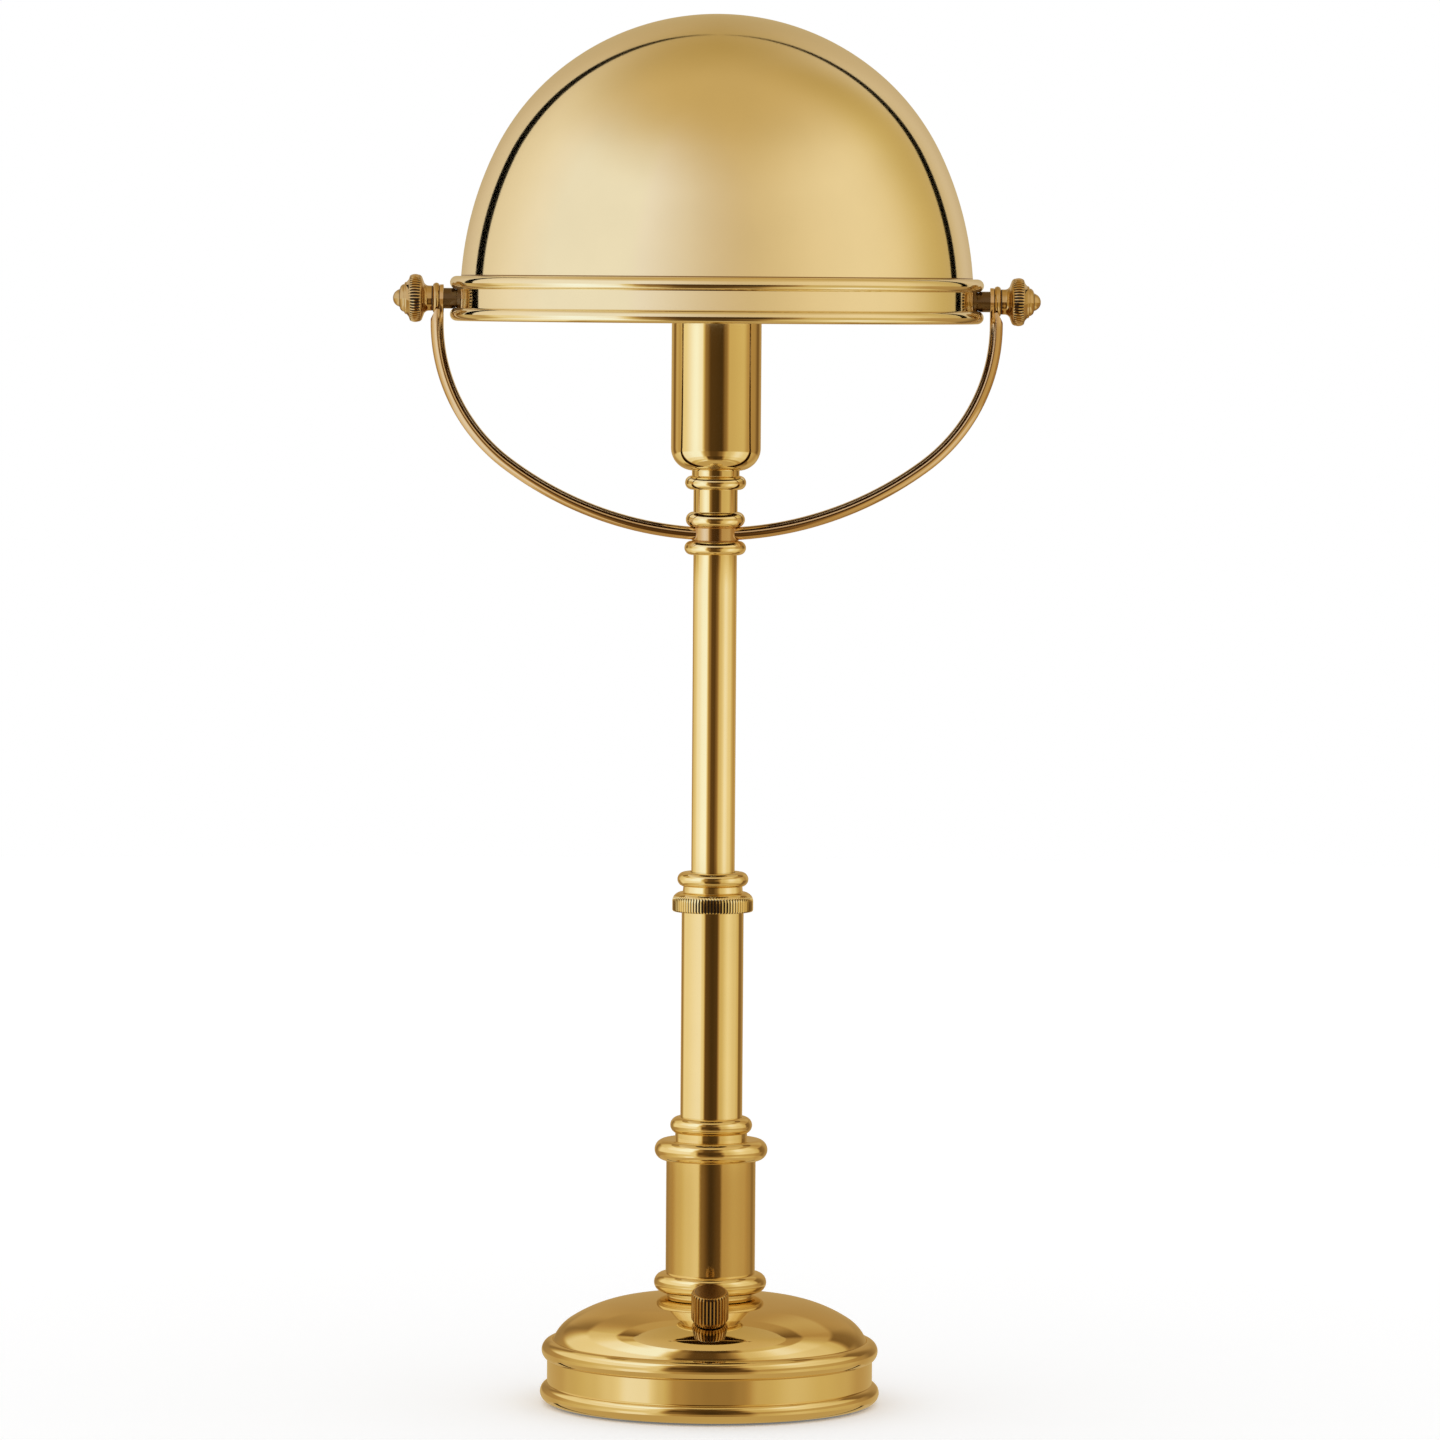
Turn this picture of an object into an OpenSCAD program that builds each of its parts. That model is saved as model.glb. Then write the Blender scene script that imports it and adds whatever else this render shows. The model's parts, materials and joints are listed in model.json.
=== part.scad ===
// Dome shade desk lamp in brass: weighted round base, telescoping column, yoke
// and a dome shade that tilts between two knurled finials.
// Millimetres. The lamp stands on z = 0 with its column on the Z axis.
// The finials lie along X and the control knob faces -Y.

/* [Shade] */
// Radius of the dome's crown
crown_r = 99.8; // [92:0.1:104]
// Radius of the dome's shoulder
shoulder_r = 95.5; // [90:0.1:99]
// Radius of the dome's skirt, seen from the side
skirt_r = 134.5; // [120:0.5:160]
// Angle from the top at which the crown meets the shoulder
crown_angle = 39; // [30:0.5:45]
// Angle from the top at which the shoulder meets the skirt
shoulder_angle = 64; // [56:0.5:70]
// Thickness of the dome's sheet
shade_wall = 0.9; // [0.6:0.1:1.5]
// Height of the ring round the dome's edge
ring_h = 17.8; // [14:0.1:22]
// Radius of the two beads on the ring
ring_bead_r = 2.6; // [1.8:0.1:3.2]
// Thickness of the ring's flat band
ring_wall = 1.75; // [1.2:0.05:2.4]
// How far the ring's lower lip reaches in under the dome
ring_lip = 1.6; // [1:0.1:2.5]

/* [Yoke] */
// Drop from the tilt axis to the middle of the bar at the hub
yoke_drop = 93.2; // [90:0.1:110]
// Length of the straight top of each arm below the tilt axis
yoke_straight = 9.5; // [6:0.1:11]
// Radius of each arm's side curve
yoke_side_r = 70; // [60:0.5:74]
// Thickness of the bar
bar_t = 5; // [4:0.1:5.4]
// Width of the bar, front to back
bar_w = 11; // [9:0.1:13]
// Thickness of the flattened eye at each end
tab_t = 1.4; // [1:0.1:2]
// Radius of the boss in the middle of the yoke
eye_r = 9.4; // [8.4:0.1:11]
// Height of the boss in the middle of the yoke
eye_h = 5.4; // [5:0.1:7]
// Radius of the fillet where an arm meets the boss
eye_fillet = 2.2; // [1:0.1:3]

/* [Finials] */
// Radius over the knurled rim
finial_r = 9.55; // [8.6:0.05:11]
// Radius of the flange that clamps the yoke
finial_flange_r = 6.2; // [5:0.1:7]
// Thickness of that flange
finial_flange_t = 2.8; // [2:0.1:3.6]
// Radius of the neck behind the knurled rim
finial_neck_r = 5; // [4:0.05:5.2]
// Length of that neck
finial_neck_l = 1.5; // [1:0.1:3]
// Width of the knurled band
finial_knurl_w = 3; // [2:0.1:4]
// Ribs round the finial
finial_ribs = 48; // [36:1:60]
// Radius of the ball at the tip
finial_ball_r = 3.3; // [2.6:0.1:3.8]
// Radius of the finial's stud
stud_r = 2.5; // [2:0.05:2.9]
// Radius of the spacer between the ring and the yoke
spacer_r = 4.1; // [3.6:0.05:4.6]
// Length of that spacer
spacer_l = 5.2; // [4:0.1:7]

/* [Mast] */
// Radius of the upper tube
upper_r = 8.7; // [7.9:0.1:9.4]
// Length of the upper tube that shows at rest
upper_show = 126.8; // [110:0.1:150]
// Length of the upper tube inside the outer tube at rest
upper_inside = 66; // [60:0.5:72]
// Wall of the upper tube
upper_wall = 1; // [0.8:0.1:1.4]
// Radius over the beads of the hub's lower collar
hub_low_r = 12.3; // [11.4:0.1:13.5]
// Radius over the bead of the hub's upper collar
hub_top_r = 11.8; // [11.4:0.1:13.5]
// Radius of the lower hub bead's rounding
hub_low_bead = 2.8; // [2.4:0.1:3.2]
// Radius of the upper hub bead's rounding
hub_top_bead = 3.1; // [2.4:0.1:3.4]
// Radius of the stem above the hub
stem_r = 8.8; // [7.8:0.1:9.6]
// Length of the stem
stem_l = 8.8; // [6:0.1:14]
// Radius of the threaded pipe through the hub
pipe_r = 5; // [4.5:0.1:5.4]

/* [Socket] */
// Radius of the socket cup
cup_r = 17.9; // [17.6:0.1:20]
// Height of the socket cup
cup_h = 66; // [60:0.5:70]
// Radius of the cup's lower corner
cup_corner = 9; // [6:0.1:9]
// Thickness of the cup's sheet
cup_wall = 0.8; // [0.6:0.1:1.2]
// Radius over the bead under the cup
cup_bead_r = 12.2; // [11.4:0.1:13.5]
// Radius of the bulb's screw cap
bulb_cap_r = 13.2; // [13:0.05:13.3]
// Radius of the bulb's globe
bulb_r = 30; // [28:0.5:32]
// Length of the bulb over all
bulb_l = 108; // [104:1:112]

/* [Column] */
// Radius over the bead of the foot collar
foot_r = 22.5; // [21.4:0.1:25]
// Radius of the foot collar's neck
foot_neck_r = 17.5; // [16.5:0.1:19]
// Height of the foot collar's neck
foot_neck_h = 1.2; // [0.8:0.1:3]
// Radius of the foot bead's rounding
foot_bead = 3.9; // [3.3:0.1:4.4]
// Radius of the lower sleeve
sleeve_r = 17.9; // [16.8:0.1:19]
// Length of the lower sleeve
sleeve_l = 45.3; // [36:0.1:60]
// Wall of the lower sleeve
sleeve_wall = 1.1; // [0.8:0.1:1.5]
// Radius over the large bead of the stepped collar
step_big_r = 22.6; // [21.4:0.1:25]
// Radius of the large bead's rounding
step_big_bead = 4.2; // [3.4:0.1:4.6]
// Radius of the neck between the two beads
step_neck_r = 14.4; // [13.9:0.1:15]
// Height of that neck
step_neck_h = 2.2; // [1.4:0.1:4]
// Radius over the small bead
step_small_r = 16.4; // [15.6:0.1:18]
// Radius of the small bead's rounding
step_small_bead = 3.4; // [2.8:0.1:3.8]
// Radius of the outer tube
outer_r = 12.4; // [12:0.1:13]
// Wall of the outer tube
outer_wall = 1.2; // [1:0.1:1.4]
// Length of the outer tube that shows
outer_show = 82.4; // [72:0.1:100]

/* [Lock collar] */
// Radius over the knurling
lock_r = 16.2; // [15.2:0.1:18]
// Height of the knurled ring
lock_knurl_h = 6.6; // [6.4:0.1:9]
// Ribs round the ring
lock_ribs = 80; // [60:1:96]
// Depth of the ribs
knurl_depth = 0.5; // [0.3:0.05:0.6]
// Radius of the neck above the ring
lock_neck_r = 12; // [11:0.1:13]
// Height of that neck
lock_neck_h = 3.4; // [2.4:0.1:5]
// Radius over the bead above the neck
lock_bead_over_r = 14.2; // [13:0.1:15]
// Radius of that bead's rounding
lock_bead = 2.9; // [2.4:0.1:3.4]

/* [Base] */
// Radius over the bead at the floor
base_r = 68; // [66:0.5:80]
// Radius of the floor bead's rounding
floor_bead = 3.8; // [3.2:0.1:4]
// How far the plain band stands in from the floor bead
band_inset = 2.8; // [2:0.1:3]
// Radius of the second bead's rounding
rim_bead = 4.2; // [3.6:0.1:4.4]
// How far the second bead stands in from the floor bead
rim_inset = 0.6; // [0.4:0.1:1]
// Height of the second bead's centre
rim_bead_z = 21; // [20:0.1:22]
// Height at which the dome starts
dome_z = 26; // [25.6:0.1:28]
// How far the dome's edge stands in from the floor bead
dome_inset = 5.2; // [4.8:0.1:6]
// Height of the dome's crown
dome_h = 44.26; // [42:0.1:48]
// Radius of the dome's crown
dome_crown_r = 156; // [140:1:200]
// Radius of the dome's shoulder
dome_shoulder_r = 37.3; // [33:0.5:42]
// Thickness of the base's sheet
base_wall = 1.2; // [0.8:0.1:1.5]
// Thickness of the felt pad
felt_t = 1.2; // [0.8:0.1:2]
// How far the felt holds the floor bead off the table
felt_lift = 0.4; // [0.2:0.1:0.6]
// Thickness of the cover plate above the felt
plate_t = 1.2; // [1:0.1:2]
// Height of the top of the base weight
weight_z = 15.4; // [10:0.1:15.8]

/* [Control knob] */
// How far the knob's foot stands in from the floor bead
knob_inset = 22.5; // [20:0.1:24]
// Lean of the knob towards the front
knob_lean = 20; // [16:0.5:22]
// Radius over the knob's flutes
knob_r = 7.4; // [7.2:0.1:8.5]
// Length of the knob
knob_l = 13.4; // [11:0.1:16]
// Flutes round the knob
knob_flutes = 32; // [24:1:36]
// Depth of the flutes
flute_depth = 0.7; // [0.4:0.05:0.8]
// Radius of the rounding at the knob's top edge
knob_edge = 1.5; // [1:0.1:1.8]
// Gap between the knob and the base
knob_gap = 0.9; // [0.8:0.1:1.4]
// Radius of the dimmer's shaft
shaft_r = 3; // [2.5:0.1:3.2]

/* [Cord inlet] */
// Radius of the bore for the flex
inlet_r = 2.6; // [2:0.1:2.7]
// Height of the inlet above the table
inlet_z = 12.6; // [12.4:0.1:12.8]

/* [Clearances] */
// Gap between pieces that are fixed together
slip = 0.05; // [0.03:0.01:0.08]
// Running clearance of a turning or sliding fit
run = 0.08; // [0.05:0.01:0.1]
// Gap between moving pieces that don't guide each other
free = 0.3; // [0.2:0.05:0.4]

/* [Hidden] */
$fn = 96;

brass = [0.80, 0.62, 0.30];
bright_brass = [0.87, 0.72, 0.42];
steel = [0.62, 0.62, 0.64];
iron = [0.22, 0.22, 0.23];
felt_green = [0.10, 0.16, 0.12];
black_plastic = [0.07, 0.07, 0.07];
cream = [0.92, 0.90, 0.84];
bore_fn = 48;
arc_step = 2.5;
bead_step = 7.5;
big = 1000;

// Sizes that follow from a curve are kept to a hundredth of a millimetre
function snap(v) = round(100 * v) / 100;

// Base, from the floor up
plate_z = felt_t;
weight_foot_z = plate_z + plate_t;
band_r = base_r - band_inset;
floor_bead_r = base_r - floor_bead;
floor_bead_z = felt_lift + floor_bead;
rim_bead_r = base_r - rim_inset - rim_bead;
dome_edge_r = base_r - dome_inset;
dome_crown_z = dome_h - dome_crown_r;
dome_reach = norm([dome_edge_r, dome_z - dome_crown_z]);
dome_bend = acos((pow(dome_crown_r - dome_shoulder_r, 2) + dome_reach * dome_reach
    - dome_shoulder_r * dome_shoulder_r) / (2 * (dome_crown_r - dome_shoulder_r) * dome_reach));
dome_angle = atan2(dome_edge_r, dome_z - dome_crown_z) - dome_bend;
dome_shoulder_x = (dome_crown_r - dome_shoulder_r) * sin(dome_angle);
dome_shoulder_z = dome_crown_z + (dome_crown_r - dome_shoulder_r) * cos(dome_angle);
land_z = snap(dome_crown_z + sqrt(dome_crown_r * dome_crown_r - foot_neck_r * foot_neck_r));
land_angle = asin(foot_neck_r / dome_crown_r);
edge_angle = 90 - asin((dome_z - dome_shoulder_z) / dome_shoulder_r);
plate_r = band_r - base_wall - 2 * free;

// Column, from the dome up
foot_web = 3.6;
tube_foot_z = land_z + foot_web;
sleeve_z = land_z + foot_neck_h + 2 * foot_bead;
step_z = sleeve_z + sleeve_l;
step_neck_z = step_z + 2 * step_big_bead;
step_small_z = step_neck_z + step_neck_h;
step_top_z = step_small_z + 2 * step_small_bead;
lock_z = step_top_z + outer_show;
lock_top_z = lock_z + lock_knurl_h + lock_neck_h + 2 * lock_bead;
collet_flange = 1.2;
outer_end_z = lock_z + lock_knurl_h - collet_flange - 2 * free;
outer_bore_r = outer_r - outer_wall;

// Hub and yoke
hub_z = lock_top_z + upper_show;
eye_z = hub_z + 2 * hub_low_bead;
pivot_z = eye_z + eye_h / 2 + yoke_drop;
hub_top_z = eye_z + eye_h;
stem_z = hub_top_z + 2 * hub_top_bead;
cup_collar_z = stem_z + stem_l;
cup_bead = 2.8;
cup_neck_r = 9.5;
cup_neck_h = 2;
cup_z = cup_collar_z + 2 * cup_bead + cup_neck_h;
tube_socket = 3.6;
upper_foot_z = lock_z - upper_inside;

// Shade
shoulder_x = (crown_r - shoulder_r) * sin(crown_angle);
skirt_x = shoulder_x + (shoulder_r - skirt_r) * sin(shoulder_angle);
shoulder_z = pivot_z + (skirt_r - shoulder_r) * cos(shoulder_angle);
crown_z = shoulder_z - (crown_r - shoulder_r) * cos(crown_angle);
ring_z = pivot_z - ring_h / 2;
rim_r = snap(skirt_x + sqrt(skirt_r * skirt_r - ring_h * ring_h / 4));
rim_angle = acos(ring_h / 2 / skirt_r);
ring_bore_r = rim_r + slip;
ring_r = ring_bore_r + ring_wall;
lip_t = 0.8;

// Yoke path, in the XZ plane
yoke_in_x = ring_r + spacer_l;
arm_x = yoke_in_x + bar_t / 2;
side_x = arm_x - yoke_side_r;
side_drop = yoke_drop - yoke_straight;
low_r = (arm_x * arm_x - 2 * arm_x * yoke_side_r + side_drop * side_drop)
    / (2 * (side_drop - yoke_side_r));
low_z = pivot_z - yoke_drop + low_r;
side_z = pivot_z - yoke_straight;
low_angle = atan2(side_x, low_z - side_z);
spot_r = 6.9;
spot_depth = 2.2;

// Hardware
rod_bore_r = 3.6;
nut_h = 5;
lower_nut_r = 9;
upper_nut_r = 9.6;
washer_r = 10.6;
washer_t = 1.2;
nut_recess_r = 12;
nut_recess_z = weight_foot_z + 9;
weight_boss_r = 15;
rod_top_z = tube_foot_z + nut_h + 1;
guide_h = 12;
clip_t = 1.2;
shoulder_t = 1.6;
tube_tail = 3;
clip_z = upper_foot_z + tube_tail;
guide_z = clip_z + clip_t + run;
shoulder_ring_z = guide_z + guide_h + run;
pipe_nut_r = 8;
pipe_nut_h = 4;
holder_z = cup_z + cup_wall + pipe_nut_h;
holder_boss_h = 5.6;
holder_floor = 12;
holder_r = cup_r - cup_wall - 1.2;
shell_floor_z = holder_z + holder_boss_h + holder_floor;
shell_h = 26;
shell_wall = 0.4;
shell_in_r = bulb_cap_r + 0.25;
shell_floor_t = 0.6;
contact_h = 2.4;
bulb_z = shell_floor_z + contact_h;
bulb_cap_h = 26;
glass_wall = 1;

// Shade pivots
nut_flat_r = 4.6;
nut_l = 4.6;
pivot_nut_x = rim_r - shade_wall - nut_l - free;
stud_end_x = pivot_nut_x - 1;
flange_x = yoke_in_x + tab_t + run;

// Finial, measured outwards from the flange's inner face
rim_back = 1.8;
rim_front = 0.9;
flare_r = 2.2;
flare_z = finial_flange_t + finial_neck_l;
knurl_root_r = finial_r - knurl_depth - 0.1;
knurl_z = flare_z + flare_r + rim_back;
rim_end_z = knurl_z + finial_knurl_w;
ring1_z = rim_end_z + rim_front;
ring2_z = ring1_z + 1.8;
ball_z = ring2_z + 1.4;

// Dimmer, measured along the knob's axis from the dome's surface
knob_y = base_r - knob_inset;
knob_foot_z = knob_y > dome_shoulder_x + dome_shoulder_r * sin(dome_angle)
    ? dome_shoulder_z + sqrt(pow(dome_shoulder_r, 2) - pow(knob_y - dome_shoulder_x, 2))
    : dome_crown_z + sqrt(pow(dome_crown_r, 2) - pow(knob_y, 2));
bush_r = 4.5;
dimmer_r = 10;
dimmer_h = 14;
dimmer_top = -base_wall - 1.7;
bush_top = 2.9;
dimmer_nut_r = 5.4;
dimmer_nut_z = 0.5;
dimmer_nut_t = 2;
knob_recess_r = 6;
knob_recess = 3.4;
shaft_top = knob_gap + knob_l - 3;

// Cord inlet
gland_body_r = inlet_r + 1;
gland_flange_r = gland_body_r + 0.45;
gland_flange_t = 1.8;
gland_l = 10;
gland_nut_t = 2.4;
gland_nut_r = 5.6;

// ---------- shared forms ----------

// Rectangle in a half profile, from one radius to another
module band2d(r0, r1, z0, z1) {
    translate([r0, z0]) square([r1 - r0, z1 - z0]);
}

// Round bead in a half profile, with its core out to the bead's centre
module bead2d(over_r, bead_r, z0) {
    translate([over_r - bead_r, z0 + bead_r]) circle(r = bead_r, $fn = bore_fn);
    band2d(0, over_r - bead_r, z0, z0 + 2 * bead_r);
}

// Points along an arc in a half profile, between two angles from the top
function arc(c, r, from, to, step) =
    let (steps = ceil(abs(to - from) / step))
    [for (i = [0 : steps]) let (a = from + (to - from) * i / steps) c + r * [sin(a), cos(a)]];

// Tube or ring on the Z axis
module tube(r0, r1, z0, z1) {
    translate([0, 0, z0])
        difference() {
            cylinder(r = r1, h = z1 - z0);
            translate([0, 0, -1]) cylinder(r = r0, h = z1 - z0 + 2);
        }
}

// Hexagon nut on the Z axis, measured over its corners
module hex_nut(corner_r, hole_r, z0, h) {
    translate([0, 0, z0])
        difference() {
            cylinder(r = corner_r, h = h, $fn = 6);
            translate([0, 0, -1]) cylinder(r = hole_r, h = h + 2, $fn = bore_fn);
        }
}

// Straight-knurled outline: pointed ribs
module knurl2d(r, depth, ribs) {
    polygon([for (i = [0 : 2 * ribs - 1])
        (r - (i % 2) * depth) * [cos(180 * i / ribs), sin(180 * i / ribs)]]);
}

// Fluted outline: flat-topped ribs, four points to each
module flute2d(r, depth, flutes) {
    polygon([for (i = [0 : 4 * flutes - 1])
        (i % 4 < 2 ? r : r - depth) * [cos(90 * i / flutes), sin(90 * i / flutes)]]);
}

// The same on the right and on the left
module each_side() {
    for (turn = [0, 180]) rotate([0, 0, turn]) children();
}

// Place on the knob's axis, with its zero on the dome
module on_knob_axis() {
    translate([0, -knob_y, knob_foot_z]) rotate([knob_lean, 0, 0]) children();
}

// Place on the inlet's axis, pointing out at the back, with its zero on the band
module on_inlet_axis() {
    translate([0, band_r, inlet_z]) rotate([-90, 0, 0]) children();
}

// ---------- base ----------

module felt_pad() {
    color(felt_green) cylinder(r = plate_r - 1, h = felt_t);
}

module base_plate() {
    color(steel)
        difference() {
            translate([0, 0, plate_z]) cylinder(r = plate_r, h = plate_t);
            screws(slip);
        }
}

// Countersunk screws from the plate up into the weight
screw_count = 3;
screw_ring_r = 40;
screw_head_r = 3.8;
screw_r = 2;
screw_head_h = 1.9;
screw_l = 11;
module screws(gap) {
    for (i = [0 : screw_count - 1])
        rotate([0, 0, 360 * i / screw_count + 30])
            translate([screw_ring_r, 0, plate_z]) {
                cylinder(r1 = screw_head_r + gap, r2 = screw_r + gap, h = screw_head_h + gap,
                    $fn = bore_fn);
                cylinder(r = screw_r + gap, h = screw_l + gap, $fn = bore_fn);
            }
}

module plate_screws() {
    color(steel) screws(0);
}

module base_weight() {
    boss_z = land_z - base_wall;
    color(iron)
        difference() {
            rotate_extrude() {
                band2d(0, band_r - base_wall - free, weight_foot_z, weight_z);
                band2d(0, weight_boss_r, weight_z, boss_z);
            }
            translate([0, 0, weight_foot_z - 1])
                cylinder(r = pipe_r + slip, h = boss_z);
            translate([0, 0, weight_foot_z - 1])
                cylinder(r = nut_recess_r, h = nut_recess_z - weight_foot_z + 1);
            screws(slip);
            // channel for the gland and the leads
            translate([-gland_nut_r - 1, weight_boss_r + 4, inlet_z - gland_nut_r - 1])
                cube([2 * gland_nut_r + 2, big, weight_z]);
        }
}

// Half profile of the base, drawn in by a wall: dome, second bead, band, floor bead
module base_profile(inset) {
    rim_c = [rim_bead_r, rim_bead_z];
    floor_c = [floor_bead_r, floor_bead_z];
    side_r = dome_edge_r - inset;
    face_r = band_r - inset;
    rim = rim_bead - inset;
    foot = floor_bead - inset;
    low = inset > 0 ? -1 : felt_lift;
    polygon(concat(
        [[0, low], [0, land_z - inset]],
        arc([0, dome_crown_z], dome_crown_r - inset, land_angle, dome_angle, arc_step),
        arc([dome_shoulder_x, dome_shoulder_z], dome_shoulder_r - inset, dome_angle + arc_step,
            edge_angle, arc_step),
        arc(rim_c, rim, asin((side_r - rim_bead_r) / rim), 180 - asin((face_r - rim_bead_r) / rim),
            bead_step),
        arc(floor_c, foot, asin((face_r - floor_bead_r) / foot), 180, bead_step),
        [[floor_bead_r, low]]
    ));
}

module base_shell() {
    color(brass)
        difference() {
            rotate_extrude()
                difference() {
                    base_profile(0);
                    base_profile(base_wall);
                    band2d(-big, 0, -big, big);
                }
            cylinder(r = pipe_r + slip, h = big, $fn = bore_fn);
            on_knob_axis()
                translate([0, 0, -8]) cylinder(r = bush_r + slip, h = 16, $fn = bore_fn);
            on_inlet_axis()
                translate([0, 0, -4]) cylinder(r = gland_body_r + slip, h = 8, $fn = bore_fn);
        }
}

module column_rod() {
    color(steel) tube(rod_bore_r, pipe_r, nut_recess_z - washer_t - nut_h - 1.4, rod_top_z);
}

module rod_washer() {
    color(steel) tube(pipe_r + slip, washer_r, nut_recess_z - washer_t, nut_recess_z);
}

module rod_lower_nut() {
    color(steel) hex_nut(lower_nut_r, pipe_r + slip, nut_recess_z - washer_t - nut_h, nut_h);
}

module rod_upper_nut() {
    color(steel) hex_nut(upper_nut_r, pipe_r + slip, tube_foot_z, nut_h);
}

// ---------- column ----------

module foot_collar() {
    color(bright_brass)
        rotate_extrude()
            difference() {
                union() {
                    band2d(0, foot_neck_r, land_z, land_z + foot_neck_h + foot_bead);
                    bead2d(foot_r, foot_bead, land_z + foot_neck_h);
                }
                band2d(-big, pipe_r + slip, -big, big);
                band2d(0, outer_r + slip, tube_foot_z, big);
            }
}

module lower_sleeve() {
    color(brass) tube(sleeve_r - sleeve_wall, sleeve_r, sleeve_z, step_z);
}

module stepped_collar() {
    color(bright_brass)
        rotate_extrude()
            difference() {
                union() {
                    bead2d(step_big_r, step_big_bead, step_z);
                    band2d(0, step_neck_r, step_neck_z - step_big_bead, step_small_z + step_small_bead);
                    bead2d(step_small_r, step_small_bead, step_small_z);
                }
                band2d(-big, outer_r + slip, -big, big);
            }
}

module outer_tube() {
    color(bright_brass) tube(outer_bore_r, outer_r, tube_foot_z, outer_end_z);
}

// Split bush that the lock collar closes on the upper tube
collet_l = 16;
collet_slots = 3;
slot_w = 1.2;
module collet_bush() {
    color(brass)
        difference() {
            rotate_extrude()
                difference() {
                    union() {
                        band2d(0, outer_bore_r - slip, outer_end_z - collet_l, outer_end_z);
                        band2d(0, outer_r - free, outer_end_z, outer_end_z + collet_flange);
                    }
                    band2d(-big, upper_r + run, -big, big);
                }
            for (i = [0 : collet_slots - 1])
                rotate([0, 0, 360 * i / collet_slots + 90])
                    translate([0, -slot_w / 2, outer_end_z - 3])
                        cube([outer_r, slot_w, collet_flange + 4]);
        }
}

module lock_collar() {
    corner = 0.7;
    root_r = lock_r - knurl_depth;
    color(bright_brass)
        difference() {
            union() {
                intersection() {
                    translate([0, 0, lock_z])
                        linear_extrude(lock_knurl_h) knurl2d(lock_r, knurl_depth, lock_ribs);
                    translate([0, 0, lock_z])
                        rotate_extrude()
                            polygon([[0, 0], [root_r - corner / 2, 0], [lock_r + 0.1, corner],
                                [lock_r + 0.1, lock_knurl_h - corner],
                                [root_r - corner / 2, lock_knurl_h], [0, lock_knurl_h]]);
                }
                rotate_extrude() {
                    band2d(0, lock_neck_r, lock_z + corner, lock_top_z - lock_bead);
                    bead2d(lock_bead_over_r, lock_bead, lock_top_z - 2 * lock_bead);
                }
            }
            translate([0, 0, lock_z - 1])
                cylinder(r = outer_r + run, h = outer_end_z + collet_flange + free - lock_z + 1);
            translate([0, 0, lock_z]) cylinder(r = upper_r + free, h = big);
        }
}

// ---------- dimmer ----------

module dimmer_body() {
    color(black_plastic)
        on_knob_axis()
            difference() {
                union() {
                    translate([0, 0, dimmer_top - dimmer_h]) cylinder(r = dimmer_r, h = dimmer_h);
                    translate([0, 0, dimmer_top]) cylinder(r = bush_r, h = bush_top - dimmer_top);
                }
                translate([0, 0, dimmer_top - dimmer_h / 2])
                    cylinder(r = shaft_r + run, h = big, $fn = bore_fn);
            }
}

module dimmer_nut() {
    color(steel) on_knob_axis() hex_nut(dimmer_nut_r, bush_r + slip, dimmer_nut_z, dimmer_nut_t);
}

module dimmer_shaft() {
    floor_z = dimmer_top - dimmer_h / 2 + run;
    color(steel)
        on_knob_axis() translate([0, 0, floor_z])
            cylinder(r = shaft_r, h = shaft_top - floor_z, $fn = bore_fn);
}

module control_knob() {
    top_z = knob_gap + knob_l;
    color(brass)
        on_knob_axis()
            difference() {
                intersection() {
                    translate([0, 0, knob_gap])
                        linear_extrude(knob_l) flute2d(knob_r, flute_depth, knob_flutes);
                    rotate_extrude()
                        polygon([[0, knob_gap], [knob_r - flute_depth - 0.1, knob_gap],
                            [knob_r + 0.1, knob_gap + flute_depth + 0.2],
                            [knob_r + 0.1, top_z - knob_edge],
                            [knob_r - 0.3 * knob_edge, top_z - 0.3 * knob_edge],
                            [knob_r - knob_edge, top_z], [0, top_z]]);
                }
                translate([0, 0, -1]) cylinder(r = knob_recess_r, h = knob_gap + knob_recess + 1);
                cylinder(r = shaft_r + slip, h = shaft_top + slip, $fn = bore_fn);
            }
}

// ---------- cord inlet ----------

module cord_gland() {
    color(black_plastic)
        on_inlet_axis()
            difference() {
                union() {
                    translate([0, 0, free / 2]) cylinder(r = gland_flange_r, h = gland_flange_t);
                    translate([0, 0, -gland_l]) cylinder(r = gland_body_r, h = gland_l + 1);
                }
                translate([0, 0, -big / 2]) cylinder(r = inlet_r, h = big, $fn = bore_fn);
            }
}

module gland_nut() {
    color(black_plastic)
        on_inlet_axis()
            hex_nut(gland_nut_r, gland_body_r + slip,
                -base_wall - free - gland_nut_t - slip, gland_nut_t);
}

// ---------- mast ----------

module guide_bush() {
    color(cream) tube(upper_r + run, outer_bore_r - run, guide_z, guide_z + guide_h);
}

module upper_tube() {
    color(bright_brass) tube(upper_r - upper_wall, upper_r, upper_foot_z, hub_z + tube_socket);
}

module guide_shoulder() {
    color(brass)
        tube(upper_r + slip, outer_bore_r - 2 * free, shoulder_ring_z, shoulder_ring_z + shoulder_t);
}

module guide_clip() {
    color(steel) tube(upper_r + slip, outer_bore_r - 2 * free, clip_z, clip_z + clip_t);
}

module hub_lower_collar() {
    color(bright_brass)
        rotate_extrude()
            difference() {
                bead2d(hub_low_r, hub_low_bead, hub_z);
                band2d(-big, pipe_r + slip, -big, big);
                band2d(0, upper_r + slip, -big, hub_z + tube_socket);
            }
}

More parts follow.
